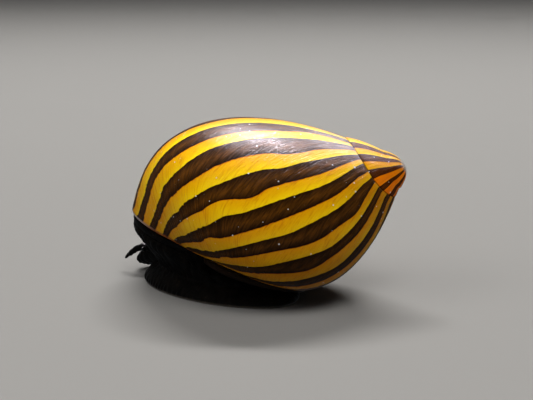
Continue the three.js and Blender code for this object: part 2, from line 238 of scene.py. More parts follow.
def fetched(parts: object, key: str, width: int, kind: type = float) -> Points:
    """What a mesh's parts hold under a key, with one row for each part.

    Args:
        parts: the mesh's points, edges or corners.
        key: the name of what they hold.
        width: how many numbers each part holds.
        kind: the kind of number.

    Returns:
        The numbers.
    """
    table = np.empty(len(parts) * width, kind)
    parts.foreach_get(key, table)
    return table.reshape(-1, width)


def settle(obj: bpy.types.Object, slot: Slot, material: bpy.types.Material, *nodes: str) -> None:
    """Dresses a piece, lets it ride with the body and stand for its solids.

    Args:
        obj: the piece.
        slot: the record's material slot of the piece; not used.
        material: its finish.
        *nodes: the solids that it replaces.
    """
    obj.data.materials.clear()
    obj.data.materials.append(material)
    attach(obj, "root")
    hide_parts(*nodes)
    LOG.info("%s: %d faces, stands for %s", obj.name, len(obj.data.polygons), ", ".join(nodes))


@dataclass
class CoilForm:
    """The shell's surface: one coiled profile, given by an azimuth and a distance along the axis."""

    centre: Points = field(default_factory=lambda: np.array([17.0, -3.5, 12.6]))
    pitch: float = 24.5 * DEG
    half_turn_growth: float = 1.6
    full_size_azimuth: float = 11 * DEG
    lip_return: float = 60 * DEG
    widest_radius: float = 11.25
    widest_at: float = 16.45
    spire_reach: float = 16.8
    spire_power: float = 1.8
    base_reach: float = 8.5
    base_power: float = 2.4
    tip_scale: float = 1.3
    tip_fade: float = 2.2
    spire_swell: float = 0.34
    tip_drop: float = 0.15
    tip_drop_span: float = 4.0
    near_fullness: float = 0.11
    near_azimuth: float = -80 * DEG
    near_spread: float = 60 * DEG
    suture_new: float = 3.93
    suture_old: float = 3.03
    suture_old_azimuth: float = -155 * DEG
    suture_span: float = 85 * DEG
    mouth_pitch: float = 19.3 * DEG
    mouth_reach: float = 13.42
    search_step: float = 0.05

    def __post_init__(self) -> None:
        """Works out the coil's axes and the mouth's normal."""
        c, s = math.cos(self.pitch), math.sin(self.pitch)
        self.axis = np.array([-c, 0.0, -s])
        self.up = np.array([-s, 0.0, c])
        self.away = np.array([0.0, 1.0, 0.0])
        self.mouth_normal = np.array([-math.sin(self.mouth_pitch), 0.0, -math.cos(self.mouth_pitch)])

    def growth(self, azimuth: Points) -> Points:
        """Size of the whorl at each azimuth, swinging back to the older whorl behind the lip.

        Args:
            azimuth: azimuths in radians.

        Returns:
            A share of the full size for each azimuth.
        """
        rate = math.log(self.half_turn_growth) / math.pi
        span = math.pi - self.lip_return
        start = math.exp(rate * (self.lip_return - self.full_size_azimuth))
        end = math.exp(rate * (-math.pi - self.full_size_azimuth))
        t = np.clip((azimuth - self.lip_return) / span, 0, 1)
        lean = span * rate
        back = (2 * t**3 - 3 * t**2 + 1 + (t**3 - 2 * t**2 + t) * lean) * start
        back += (3 * t**2 - 2 * t**3 + (t**3 - t**2) * lean) * end
        grown = np.exp(rate * (azimuth - self.full_size_azimuth))
        return np.where(azimuth <= self.lip_return, grown, back)

    def radius(self, azimuth: Points, along: Points) -> Points:
        """Radius of the full-size profile.

        Args:
            azimuth: azimuths in radians.
            along: distances along the profile.

        Returns:
            The radii.
        """
        before = np.clip((self.widest_at - along) / self.spire_reach, 0, 1)
        spire = self.widest_radius * (1 - before**self.spire_power)
        aside = np.clip(np.abs(azimuth - self.near_azimuth) / self.near_spread, 0, 1)
        fullness = 1 + self.near_fullness * np.cos(aside * math.pi / 2) ** 2
        after = np.clip((along - self.widest_at) / (self.base_reach * fullness), 0, 1)
        base = self.widest_radius * (1 - after**self.base_power) ** (1 / self.base_power)
        return np.where(along < self.widest_at, spire, base)

    def suture(self, azimuth: Points) -> Points:
        """Distance along the axis at which the last whorl meets the spire.

        Args:
            azimuth: azimuths in radians.

        Returns:
            Distances along the profile.
        """
        grown = smooth((azimuth - self.suture_old_azimuth) / self.suture_span)
        back = smooth((azimuth - self.lip_return) / (math.pi - self.lip_return))
        return self.suture_old + (self.suture_new - self.suture_old) * (grown - back)

    def axis_point(self, reach: Points, along: Points) -> Points:
        """Points of the coil's axis, which droops a little towards the tip.

        Args:
            reach: distances along the axis.
            along: distances along the profile, for the droop.

        Returns:
            The points.
        """
        reach, along = np.asarray(reach, float), np.asarray(along, float)
        droop = self.tip_drop * (1 - smooth(along / self.tip_drop_span))
        return self.centre + reach[..., None] * self.axis - droop[..., None] * self.up

    def point(self, azimuth: Points, along: Points) -> Points:
        """Points of the surface, in millimetres.

        Args:
            azimuth: turn about the coil's axis, zero on top and negative on the near side.
            along: distance along the profile from the tip.

        Returns:
            An array with xyz as its last axis.
        """
        azimuth, along = np.broadcast_arrays(np.asarray(azimuth, float), np.asarray(along, float))
        blend = smooth(along / self.tip_fade)
        size = self.tip_scale + (self.growth(azimuth) - self.tip_scale) * blend
        swelling = np.sin(math.pi * np.clip(along / self.suture_new, 0, 1))
        radius = size * self.radius(azimuth, along)
        radius = radius + self.spire_swell * np.maximum(np.cos(azimuth), 0) * swelling
        return (
            self.axis_point(size * along, along)
            + (radius * np.cos(azimuth))[..., None] * self.up
            + (radius * np.sin(azimuth))[..., None] * self.away
        )

    def above_mouth(self, points: Points) -> Points:
        """Height of points above the plane of the mouth."""
        return self.mouth_reach - (points - self.centre) @ self.mouth_normal

    def along_at(self, azimuth: Points, height: float) -> Points:
        """Distance along the profile at which the shell comes down to a height above the mouth.

        Args:
            azimuth: azimuths in radians.
            height: height above the plane of the mouth.

        Returns:
            One distance for each azimuth, that of the lowest point where the height isn't reached.
        """
        end = self.widest_at + self.base_reach * (1 + self.near_fullness)
        grid = np.arange(self.widest_at / 2, end, self.search_step)
        a, s = np.meshgrid(azimuth, grid, indexing="ij")
        there = self.above_mouth(self.point(a, s))
        reached = there < height
        first = np.where(reached.any(axis=1), np.argmax(reached, axis=1), np.argmin(there, axis=1))
        rows = np.arange(len(azimuth))
        high, low = there[rows, first - 1], there[rows, first]
        share = np.clip((high - height) / np.maximum(high - low, 1e-9), 0, 1)
        return grid[first - 1] + share * self.search_step

    def rim(self, azimuth: Points, height: float) -> Points:
        """Points of the shell at a height above the mouth."""
        return self.point(azimuth, self.along_at(azimuth, height))

    def mouth_point(self, x: Points, y: Points, height: float) -> Points:
        """Points at plan positions and a height above the plane of the mouth.

        Args:
            x: places to the right.
            y: places away from the viewer.
            height: height above the plane of the mouth.

        Returns:
            The points.
        """
        flat = np.stack([x, y, np.zeros_like(x)], axis=-1)
        rise = (height - self.above_mouth(flat)) / math.cos(self.mouth_pitch)
        return flat + rise[..., None] * RISE

    def inset_rim(self, azimuth: Points, height: float, inset: float) -> Points:
        """Points of the rim moved towards the middle of the mouth.

        Args:
            azimuth: azimuths in radians.
            height: height above the plane of the mouth.
            inset: how far they move.

        Returns:
            The points.
        """
        rim = self.rim(azimuth, height)
        middle = self.mouth_point(np.zeros(1), np.zeros(1), height)[0]
        return rim + unit(middle - rim) * inset


@dataclass
class Bands:
    """The shell's bands: each yellow one from its upper to its lower edge, in degrees of azimuth."""

    near: tuple = (
        (5, -7),
        (-18, -26),
        (-38, -48.5),
        (-60, -68.5),
        (-79, -88),
        (-100, -109),
        (-118.5, -130),
        (-142, -154),
    )
    far_count: int = 9
    far_width: float = 9.5
    straight: bool = False
    rim_sweep: tuple = ((-70, 15.0), (-45, 10.5))
    rim_sweep_reach: float = 4.0
    rim_hook: tuple = ((-80, 16.0), (-58, 20.0), (-35, 24.0), (-15, 20.0))
    rim_hook_reach: float = 0.6
    low_drift: tuple = ((-125, 0.45), (-105, 0.8), (-95, 0.9), (-80, 0.0))
    low_drift_from: float = 12.0
    low_drift_span: float = 12.0
    suture_hook: float = 16.0
    suture_hook_from: float = 10.5
    suture_hook_span: float = 6.5
    suture_hook_power: float = 2.6
    suture_hook_azimuths: tuple = (-12.0, -62.0)
    kinks: tuple = (
        (5, 22.8, 5, 1.2),
        (5, 15, -3, 1.5),
        (5, 7.6, 6, 1.6),
        (5, 4.2, -6, 0.8),
        (-18, 6.6, 5, 1.6),
        (-18, 22.4, 3, 1.8),
        (-26, 20.5, -2.5, 2.5),
        (-26, 24.2, -5, 1.2),
        (-38, 9.8, -4.5, 1.6),
        (-38, 20, -1.5, 2),
        (-48.5, 11.4, -2, 1.3),
        (-60, 19.4, 3.8, 1.5),
        (-60, 15.9, -2.4, 1.3),
        (-60, 23.2, 5, 1.5),
        (-68.5, 19.6, 1.5, 1.4),
        (-79, 22.6, 3, 0.7),
        (-79, 3.9, -5, 0.9),
        (-88, 3.9, -5, 0.9),
        (-88, 15, -1.6, 2),
        (-100, 14, -1.5, 2.5),
        (-100, 7.5, -3, 1.2),
        (-100, 22.9, 3, 0.5),
        (-109, 21.6, -5, 2.6),
        (-109, 12, -1.5, 2.5),
        (-118.5, 16, -4, 2.2),
        (-118.5, 23, -4, 1.2),
        (-130, 13, -2.5, 2),
    )
    kink_spread: float = 4.5
    far_kinks: int = 36
    far_kink_along: tuple = (5, 22)
    far_kink_shift: tuple = (-4, 4)
    far_kink_half: tuple = (0.7, 1.8)
    seed: int = 11

    def edges(self) -> Points:
        """Azimuths of all the edges for one full turn, falling, the first one repeated at the end.

        Returns:
            The azimuths in degrees.
        """
        edges = [value for band in self.near for value in band]
        left = edges[-1] - (edges[0] - 360)
        gap = (left - self.far_count * self.far_width) / (self.far_count + 1)
        place = edges[-1]
        for _ in range(self.far_count):
            edges += [place - gap, place - gap - self.far_width]
            place -= gap + self.far_width
        return np.array(edges + [edges[0] - 360.0])

    def bend(self, azimuth: Points, along: Points, rim: Points) -> Points:
        """How far, in degrees, the bands have moved from their straight run.

        Args:
            azimuth: azimuths in degrees.
            along: distances along the profile.
            rim: distances to the rim.

        Returns:
            The shifts.
        """
        if self.straight:
            return np.zeros_like(along)
        rim = np.maximum(rim, 0)
        sweep = np.interp(azimuth, *zip(*self.rim_sweep)) * np.exp(-rim / self.rim_sweep_reach)
        hook = np.interp(azimuth, *zip(*self.rim_hook)) * np.exp(-rim / self.rim_hook_reach)
        low = eased(azimuth, self.suture_hook_azimuths)
        near_suture = np.clip((self.suture_hook_from - along) / self.suture_hook_span, 0, 1)
        near_suture = near_suture**self.suture_hook_power
        past = np.clip(along - self.low_drift_from, 0, self.low_drift_span)
        drift = np.interp(azimuth, *zip(*self.low_drift)) * past
        return sweep + hook + self.suture_hook * near_suture * low + drift

    def all_kinks(self) -> list:
        """Small steps in the edges as azimuth, distance along, shift in degrees and half length.

        Those of the near side are seen in the picture, those of the far side are scattered.

        Returns:
            One tuple for each step.
        """
        draw = random.Random(self.seed)
        edges = self.edges()[len(self.near) * 2 : -1]
        far = []
        for _ in range(self.far_kinks):
            place = (float(draw.choice(edges)) + 180) % 360 - 180
            sizes = (self.far_kink_along, self.far_kink_shift, self.far_kink_half)
            far.append((place, *(draw.uniform(*size) for size in sizes)))
        return list(self.kinks) + far

    def phase(self, azimuth: Points, along: Points, rim: Points) -> Points:
        """Band number: 0 to 1 is yellow, 1 to 2 is dark, and so on round the shell.

        Args:
            azimuth: in radians, from minus pi to pi.
            along: distance along the profile.
            rim: distance to the rim.

        Returns:
            A value that rises by one from each edge to the next.
        """
        edges = self.edges()
        turned = np.degrees(azimuth) - self.bend(np.degrees(azimuth), along, rim)
        for place, at, shift, half in [] if self.straight else self.all_kinks():
            off = (turned - place + 180) % 360 - 180
            fade = np.exp(-((off / self.kink_spread) ** 2) - ((along - at) / half) ** 2)
            turned = turned - shift * fade
        rounds = np.floor((edges[0] - turned) / 360.0)
        inside = turned + 360.0 * rounds
        count = len(edges) - 1
        return np.interp(-inside, -edges, np.arange(count + 1)) + rounds * count


Socket = bpy.types.NodeSocket


class Graph:
    """A material's node tree, written in few words."""

    def __init__(self, name: str) -> None:
        """Starts a material with one shader.

        Args:
            name: the material's name.
        """
        self.material = bpy.data.materials.new(name)
        self.material.use_nodes = True
        self.nodes = self.material.node_tree.nodes
        self.links = self.material.node_tree.links
        self.nodes.clear()
        self.shader = self.nodes.new("ShaderNodeBsdfPrincipled")
        output = self.nodes.new("ShaderNodeOutputMaterial")
        self.links.new(self.shader.outputs[0], output.inputs[0])

    def set(self, **values: float) -> None:
        """Sets sockets of the shader, their names written with underscores for spaces."""
        for key, value in values.items():
            self.shader.inputs[key.replace("_", " ")].default_value = value

    def node(self, kind: str, inputs: dict = None, **settings: object) -> bpy.types.Node:
        """Adds a node.

        Args:
            kind: the node's type without its ShaderNode prefix.
            inputs: socket number or name to a value or to another node's socket.
            **settings: properties of the node.

        Returns:
            The new node.
        """
        made = self.nodes.new("ShaderNode" + kind)
        for key, value in settings.items():
            setattr(made, key, value)
        for key, value in (inputs or {}).items():
            if isinstance(value, Socket):
                self.links.new(value, made.inputs[key])
            else:
                made.inputs[key].default_value = value
        return made

    def math(self, operation: str, *values: object) -> Socket:
        """A number worked out from others."""
        return self.node("Math", dict(enumerate(values)), operation=operation).outputs[0]

    def times(self, *values: object) -> Socket:
        """The product of two or more numbers.

        Args:
            *values: numbers or sockets.

        Returns:
            The product.
        """
        product = values[0]
        for value in values[1:]:
            product = self.math("MULTIPLY", product, value)
        return product

    def layer(self, name: str) -> Socket:
        """The value that the mesh holds under a name."""
        return self.node("Attribute", attribute_name=name).outputs["Fac"]

    def ramp(self, value: object, *stops: tuple) -> Socket:
        """A colour from stops of place and colour, the colour given as it shows on a screen.

        Args:
            value: the place on the ramp.
            *stops: its colours.

        Returns:
            The colour's socket.
        """
        made = self.node("ValToRGB", {0: value})
        ramp = made.color_ramp
        while len(ramp.elements) < len(stops):
            ramp.elements.new(0.5)
        for element, (place, colour) in zip(ramp.elements, stops):
            element.position = place
            element.color = screen(colour)
        return made.outputs[0]

    def span(self, value: object, low: float, high: float, to: tuple = (0.0, 1.0)) -> Socket:
        """A value moved from one range to another, kept inside it."""
        inputs = {0: value, 1: low, 2: high, 3: to[0], 4: to[1]}
        return self.node("MapRange", inputs, interpolation_type="SMOOTHSTEP").outputs[0]

    def mix(self, share: object, first: object, second: object, blend: str = "MIX") -> Socket:
        """Two colours mixed.

        Args:
            share: how much of the second.
            first: a colour or its socket.
            second: a colour or its socket.
            blend: how they are mixed.

        Returns:
            The colour's socket.
        """
        made = self.node("Mix", {0: share}, data_type="RGBA", blend_type=blend)
        for socket, value in ((6, first), (7, second)):
            if isinstance(value, Socket):
                self.links.new(value, made.inputs[socket])
            else:
                made.inputs[socket].default_value = screen(value)
        return made.outputs[2]

    def place(self) -> Socket:
        """The object's own coordinates, in millimetres."""
        inputs = {0: self.node("TexCoord").outputs["Object"], 1: (1 / MM,) * 3}
        return self.node("VectorMath", inputs, operation="MULTIPLY").outputs[0]

    def vector(self, x: object, y: object, z: object = 0.0) -> Socket:
        """A vector from three numbers."""
        return self.node("CombineXYZ", {0: x, 1: y, 2: z}).outputs[0]

    def noise(self, vector: Socket, scale: float, detail: float = 2.0, rough: float = 0.5) -> Socket:
        """Cloudy noise from 0 to 1."""
        inputs = {"Vector": vector, "Scale": scale, "Detail": detail, "Roughness": rough}
        return self.node("TexNoise", inputs).outputs[0]

    def cells(self, vector: Socket, scale: float, feature: str = "F1") -> bpy.types.Node:
        """A node of scattered cells."""
        return self.node("TexVoronoi", {"Vector": vector, "Scale": scale}, feature=feature)

    def bump(self, height: Socket, strength: float, distance_mm: float, under: Socket = None) -> Socket:
        """A relief of the surface from a height, on top of another relief if there is one.

        Args:
            height: the height, from 0 to 1.
            strength: how much it counts, from 0 to 1.
            distance_mm: how high 1 is.
            under: the other relief.

        Returns:
            The relief's socket.
        """
        inputs = {"Height": height, "Strength": strength, "Distance": distance_mm * MM}
        if under is not None:
            inputs["Normal"] = under
        return self.node("Bump", inputs).outputs[0]

    def finish(self, colour: object, roughness: object, normal: object = None) -> bpy.types.Material:
        """Plugs the results into the shader.

        Args:
            colour: the base colour's socket.
            roughness: the roughness's socket.
            normal: the relief's socket.

        Returns:
            The material.
        """
        self.links.new(colour, self.shader.inputs["Base Color"])
        self.links.new(roughness, self.shader.inputs["Roughness"])
        if normal is not None:
            self.links.new(normal, self.shader.inputs["Normal"])
        return self.material


def screen(colour: tuple) -> tuple:
    """A colour as it shows on a screen, 0 to 255, as the linear colour with full alpha.

    Args:
        colour: red, green and blue.

    Returns:
        The linear colour.
    """
    shares = [c / 255 for c in colour]
    linear = [c / 12.92 if c <= 0.04045 else ((c + 0.055) / 1.055) ** 2.4 for c in shares]
    return (*linear, 1.0)


@dataclass(frozen=True)
class ShellFinish:
    """Glossy shell with golden and near-black bands, fine growth lines and tiny pale specks.

    Lengths and heights are in millimetres. Most pairs are a range, from where a thing starts to where it
    is full. Stretches and lines are pairs of waves per millimetre, the shares of painted shade low down
    and the spire shares are for golden and dark bands, and line shares and relief are for fine and broad
    growth lines. Low down, golden bands turn ochre, partly their pigment and partly painted shade, and
    dark bands are darkened as painted shade. Under the lip's edge the colour is darkened as painted shade.
    """

    gold_edge: tuple = (214, 118, 0)
    gold_upper: tuple = (238, 168, 0)
    gold_middle: tuple = (242, 184, 0)
    gold_lower: tuple = (252, 212, 8)
    dark_edge: tuple = (20, 9, 3)
    dark_upper: tuple = (60, 35, 8)
    dark_middle: tuple = (106, 64, 12)
    # Ochre for golden bands low down, partly painted shade, and beside the seam.
    ochre: tuple = (176, 98, 0)
    dark_streak: tuple = (70, 66, 62)
    light_streak: tuple = (176, 168, 160)
    gold_streak: tuple = (222, 176, 120)
    lip: tuple = (205, 205, 208)
    bare_dark: tuple = (120, 96, 80)
    bare_pale: tuple = (222, 214, 204)
    speck: tuple = (225, 225, 230)
    brown_lip: tuple = (150, 78, 18)
    spire_orange: tuple = (250, 122, 0)
    spire_brown: tuple = (110, 42, 4)
    wave: float = 0.10
    wave_stretch: tuple = (1.5, 1.1)
    wave_reach: tuple = (4.5, 0.8)
    wave_growth: tuple = (0.6, 3.6)
    jag: float = 0.13
    jag_reach: tuple = (5.0, 0.8)
    jags_per_mm: float = 3.4
    jags_per_band: float = 0.6
    # Heights over which the painted shade towards the bottom comes in.
    shade_heights: tuple = (13.0, 2.0)
    seam_heights: tuple = (14.5, 10.5)
    spire_heights: tuple = (13.3, 12.0)
    lip_heights: tuple = (6.4, 7.6)
    # Shares of the painted shade low down, for golden and dark bands.
    shade_shares: tuple = (0.75, 0.55)
    seam_share: float = 0.7
    spire_shares: tuple = (0.12, 0.45)
    seam_reach: tuple = (6.0, 0.5)
    seam_line: tuple = (0.12, 0.04)
    lip_line: tuple = (0.08, 0.03)
    # Distance past the rim over which the lip's underside is darkened as painted shade.
    under_lip: tuple = (-0.02, -0.07)
    bare_reach: tuple = (0.4, 0.1)
    seam_dark: float = 0.6
    lip_broken: tuple = (0.30, 0.46)
    specks_per_mm: float = 1.5
    speck_sizes: tuple = (0.035, 0.125)
    speck_chances: tuple = (0.3, 1.0)
    speck_paleness: tuple = (0.3, 0.95)
    fine_lines: tuple = (3.0, 0.7)
    broad_lines: tuple = (0.7, 0.35)
    line_shares: tuple = (0.6, 0.4)
    dark_lines: tuple = (0.40, 0.62)
    dark_line_share: float = 0.75
    gold_lines: tuple = (0.47, 0.70)
    gold_line_share: float = 0.8
    bare_lines: tuple = (0.4, 0.6)
    bare_raggedness: float = 0.5
    roughness: tuple = (0.30, 0.46)
    seam_roughness: float = 0.4
    relief_mm: tuple = (0.06, 0.05)
    gloss: float = 1.0

    def growth_lines(self, g: Graph, rim: Socket) -> tuple:
        """Growth lines as noise drawn out along the rim.

        Args:
            g: the node tree.
            rim: the distance to the rim.

        Returns:
            The fine lines and the broad ones.
        """
        growth, made = g.layer("growth"), []
        for (across, along), shift in ((self.fine_lines, 0.0), (self.broad_lines, 7.0)):
            place = g.vector(g.times(growth, across), g.times(rim, along), shift)
            made.append(g.noise(place, scale=1.0, detail=3.0, rough=0.6))
        return tuple(made)

    def band_edges(self, g: Graph, band: Socket, rim: Socket) -> Socket:
        """Place inside a pair of bands, 0 to 0.5 golden and 0.5 to 1 dark, with wavy and ragged edges.

        Args:
            g: the node tree.
            band: the band number.
            rim: the distance to the rim.

        Returns:
            The place from 0 to 1.
        """
        along, across = self.wave_stretch
        place = g.vector(g.times(rim, along), g.times(band, across))
        wander = g.noise(place, scale=1.0, detail=4.0, rough=0.6)
        near_rim = g.span(rim, *self.wave_reach, self.wave_growth)
        waves = g.times(g.math("SUBTRACT", wander, 0.5), g.times(near_rim, self.wave * 2))
        along, across = g.times(rim, self.jags_per_mm), g.times(band, self.jags_per_band)
        steps = g.math("FLOOR", g.math("ADD", along, across))
        step = g.node("TexWhiteNoise", {"W": steps}, noise_dimensions="1D").outputs["Value"]
        rough_edge = g.times(g.span(rim, *self.jag_reach), self.jag)
        jags = g.times(g.math("SUBTRACT", step, 0.5), rough_edge)
        moved = g.math("ADD", band, g.math("ADD", waves, jags))
        return g.times(g.math("FLOORED_MODULO", moved, 2.0), 0.5)

    def banded(self, g: Graph, half: Socket) -> Socket:
        """The colour across a pair of bands.

        Args:
            g: the node tree.
            half: the place inside the pair, from 0 to 1.

        Returns:
            The colour.
        """
        return g.ramp(
            half,
            (0.0, self.dark_edge),
            (0.012, self.gold_edge),
            (0.045, self.gold_upper),
            (0.24, self.gold_middle),
            (0.45, self.gold_lower),
            (0.492, self.gold_lower),
            (0.508, self.dark_edge),
            (0.55, self.dark_upper),
            (0.76, self.dark_middle),
            (0.95, self.dark_upper),
            (1.0, self.dark_edge),
        )

    def toned(self, g: Graph, colour: Socket, gold: Socket, dark: Socket, warm: float) -> Socket:
        """The bands with painted shade low down: ochre on golden bands, partly their pigment, and
        near-black on dark ones. They are also deeper beside the seam, and orange and brown on the spire.

        Args:
            g: the node tree.
            colour: the plain bands.
            gold: 1 on golden bands and 0 on dark ones.
            dark: 0 on golden bands and 1 on dark ones.
            warm: how far the gold turns to deep orange.

        Returns:
            The colour.
        """
        height = g.node("SeparateXYZ", {0: g.place()}).outputs[2]
        # Painted shade towards the bottom: golden bands turn ochre (partly their pigment) and dark bands
        # turn near-black.
        lower = g.span(height, *self.shade_heights)
        colour = g.mix(g.times(lower, gold, self.shade_shares[0]), colour, self.ochre)
        colour = g.mix(g.times(lower, dark, self.shade_shares[1]), colour, self.dark_edge)
        low_seam = g.span(height, *self.seam_heights, (0.0, self.seam_share))
        beside = g.times(g.span(g.layer("seam"), *self.seam_reach), low_seam)
        colour = g.mix(g.times(gold, beside), colour, self.ochre)
        if warm:
            least, brown = self.spire_shares
            orange = g.times(gold, g.span(height, *self.spire_heights, (least, warm)))
            colour = g.mix(orange, colour, self.spire_orange)
            colour = g.mix(g.times(dark, brown), colour, self.spire_brown)
        return colour

    def lined(self, g: Graph, colour: Socket, broad: Socket, rim: Socket) -> Socket:
        """The colour with specks, the line of the seam, the thin edge of the lip and painted shade under
        the lip's edge.

        Args:
            g: the node tree.
            colour: the bands.
            broad: the broad growth lines, which break up the lip's edge.
            rim: the distance to the rim.

        Returns:
            The colour.
        """
        cells = g.cells(g.place(), self.specks_per_mm)
        chance = g.node("SeparateColor", {0: cells.outputs["Color"]}).outputs[0]
        size = g.span(chance, *self.speck_chances, self.speck_sizes)
        fleck = g.math("LESS_THAN", cells.outputs["Distance"], size)
        colour = g.mix(g.times(fleck, g.span(chance, 0.5, 1.0, self.speck_paleness)), colour, self.speck)
        seam = g.span(g.layer("seam"), *self.seam_line)
        colour = g.mix(g.times(seam, self.seam_dark), colour, self.dark_edge)
        height = g.node("SeparateXYZ", {0: g.place()}).outputs[2]
        edge = g.times(g.span(rim, *self.lip_line), g.span(broad, *self.lip_broken))
        lip = g.mix(g.span(height, *self.lip_heights), self.brown_lip, self.lip)
        colour = g.mix(edge, colour, lip)
        # Painted shade: past the rim, on the lip's underside, the colour turns near-black.
        return g.mix(g.span(rim, *self.under_lip), colour, self.dark_edge)

    def material(self, name: str, warm: float = 0.0, worn: bool = False) -> bpy.types.Material:
        """Makes the material.

        Args:
            name: the material's name.
            warm: how far the gold turns to deep orange, as on the spire.
            worn: whether the bands are worn away towards the tip.

        Returns:
            The material.
        """
        g = Graph(name)
        rim = g.layer("rim")
        half = self.band_edges(g, g.layer("band"), rim)
        gold = g.span(half, 0.49, 0.51, (1.0, 0.0))
        dark = g.math("SUBTRACT", 1.0, gold)
        colour = self.toned(g, self.banded(g, half), gold, dark, warm)
        fine, broad = self.growth_lines(g, rim)
        streaks = g.math("ADD", *(g.times(*pair) for pair in zip((fine, broad), self.line_shares)))
        dull = g.mix(g.span(streaks, *self.dark_lines), self.dark_streak, self.light_streak)
        colour = g.mix(g.times(dark, self.dark_line_share), colour, dull, "OVERLAY")
        shade = g.mix(1.0, colour, self.gold_streak, "MULTIPLY")
        lines = g.span(streaks, *self.gold_lines, (0.0, self.gold_line_share))
        colour = g.mix(g.times(gold, lines), colour, shade)
        colour = self.lined(g, colour, broad, rim)
        if worn:
            ragged = g.times(broad, self.bare_raggedness)
            along = g.math("SUBTRACT", g.layer("along"), ragged)
            bare = g.mix(g.span(fine, *self.bare_lines), self.bare_dark, self.bare_pale)
            colour = g.mix(g.span(along, *self.bare_reach), colour, bare)
        seam = g.times(g.span(g.layer("seam"), *self.seam_line), self.seam_roughness)
        rough = g.math("ADD", g.span(streaks, 0.3, 0.7, self.roughness), seam)
        fine_mm, broad_mm = self.relief_mm
        relief = g.bump(broad, 1.0, broad_mm, g.bump(fine, 1.0, fine_mm))
        g.links.new(relief, g.shader.inputs["Coat Normal"])
        g.set(Coat_Weight=0.3 * self.gloss, Coat_Roughness=0.10, Coat_IOR=1.38)
        g.set(Specular_IOR_Level=0.1 * self.gloss)
        return g.finish(colour, rough, relief)


@dataclass(frozen=True)
class PorcelainFinish:
    """Smooth pale inside of the shell, on the deck behind the mouth."""

    pale: tuple = (226, 218, 198)
    warm: tuple = (206, 176, 120)
    roughness: tuple = (0.2, 0.36)
    relief_mm: float = 0.05

    def material(self) -> bpy.types.Material:
        """Makes the material.

        Returns:
            The material.
        """
        g = Graph("pale deck")
        clouds = g.noise(g.place(), scale=0.5, detail=4.0)
        grain = g.noise(g.place(), scale=3.0, detail=3.0)
        colour = g.ramp(clouds, (0.3, self.warm), (0.62, self.pale))
        rough = g.span(clouds, 0.2, 0.8, self.roughness)
        g.set(Coat_Weight=0.4, Coat_Roughness=0.12)
        return g.finish(colour, rough, g.bump(grain, 0.25, self.relief_mm))


@dataclass(frozen=True)
class SkinFinish:
    """Moist near-black skin with fine pale flecks, paler under the sole."""

    black: tuple = (4, 4, 3)
    brown: tuple = (16, 12, 9)
    fleck: tuple = (84, 70, 50)
    sole: tuple = (116, 108, 98)
    sole_share: float = 0.85
    flecks_per_mm: float = 3.2
    fleck_sizes: tuple = (0.16, 0.06)
    fleck_clouds: tuple = (0.5, 0.62)
    fleck_share: float = 0.6
    pebbles_per_mm: float = 4.5
    roughness: tuple = (0.38, 0.55)
    relief_mm: float = 0.08

    def material(self) -> bpy.types.Material:
        """Makes the material.

        Returns:
            The material.
        """
        g = Graph("moist skin")
        place = g.place()
        clouds = g.noise(place, scale=1.2, detail=5.0, rough=0.6)
        colour = g.ramp(clouds, (0.35, self.black), (0.7, self.brown))
        cells = g.cells(place, self.flecks_per_mm).outputs["Distance"]
        patches = g.span(clouds, *self.fleck_clouds)
        flecks = g.times(g.span(cells, *self.fleck_sizes), patches, self.fleck_share)
        colour = g.mix(flecks, colour, self.fleck)
        colour = g.mix(g.times(g.layer("sole"), self.sole_share), colour, self.sole)
        pebbles = g.cells(place, self.pebbles_per_mm, "SMOOTH_F1").outputs["Distance"]
        rough = g.span(clouds, 0.25, 0.75, self.roughness)
        g.set(Coat_Weight=0.1, Coat_Roughness=0.2, Coat_IOR=1.38, Specular_IOR_Level=0.12)
        return g.finish(colour, rough, g.bump(pebbles, 0.5, self.relief_mm))


@dataclass(frozen=True)
class OperculumFinish:
    """Limy plate with curved growth ridges."""

    pale: tuple = (48, 30, 15)
    dark: tuple = (12, 8, 5)
    lines_per_mm: float = 5.0
    roughness: tuple = (0.35, 0.55)
    relief_mm: float = 0.05

    def material(self) -> bpy.types.Material:
        """Makes the material.

        Returns:
            The material.
        """
        g = Graph("limy plate")
        place = g.vector(g.times(g.layer("growth"), self.lines_per_mm), 0.0)
        lines = g.noise(place, scale=1.0, detail=3.0)
        colour = g.ramp(lines, (0.3, self.dark), (0.7, self.pale))
        rough = g.span(lines, 0.2, 0.8, self.roughness)
        g.set(Specular_IOR_Level=0.15)
        return g.finish(colour, rough, g.bump(lines, 0.5, self.relief_mm))


@dataclass(frozen=True)
class EyeFinish:
    """Glossy black eye with a faint brown bloom."""

    black: tuple = (5, 5, 6)
    bloom: tuple = (26, 18, 14)
    roughness: tuple = (0.08, 0.16)

    def material(self) -> bpy.types.Material:
        """Makes the material.

        Returns:
            The material.
        """
        g = Graph("black eye")
        clouds = g.noise(g.place(), scale=6.0, detail=2.0)
        colour = g.ramp(clouds, (0.4, self.black), (0.8, self.bloom))
        g.set(Coat_Weight=1.0, Coat_Roughness=0.03)
        return g.finish(colour, g.span(clouds, 0.2, 0.8, self.roughness))


SPIRE_BANDS = Bands(
    near=((12, -12), (-26, -38), (-51, -64), (-78, -93), (-104, -120), (-136, -152)),
    far_count=6,
    far_width=13.0,
    straight=True,
)


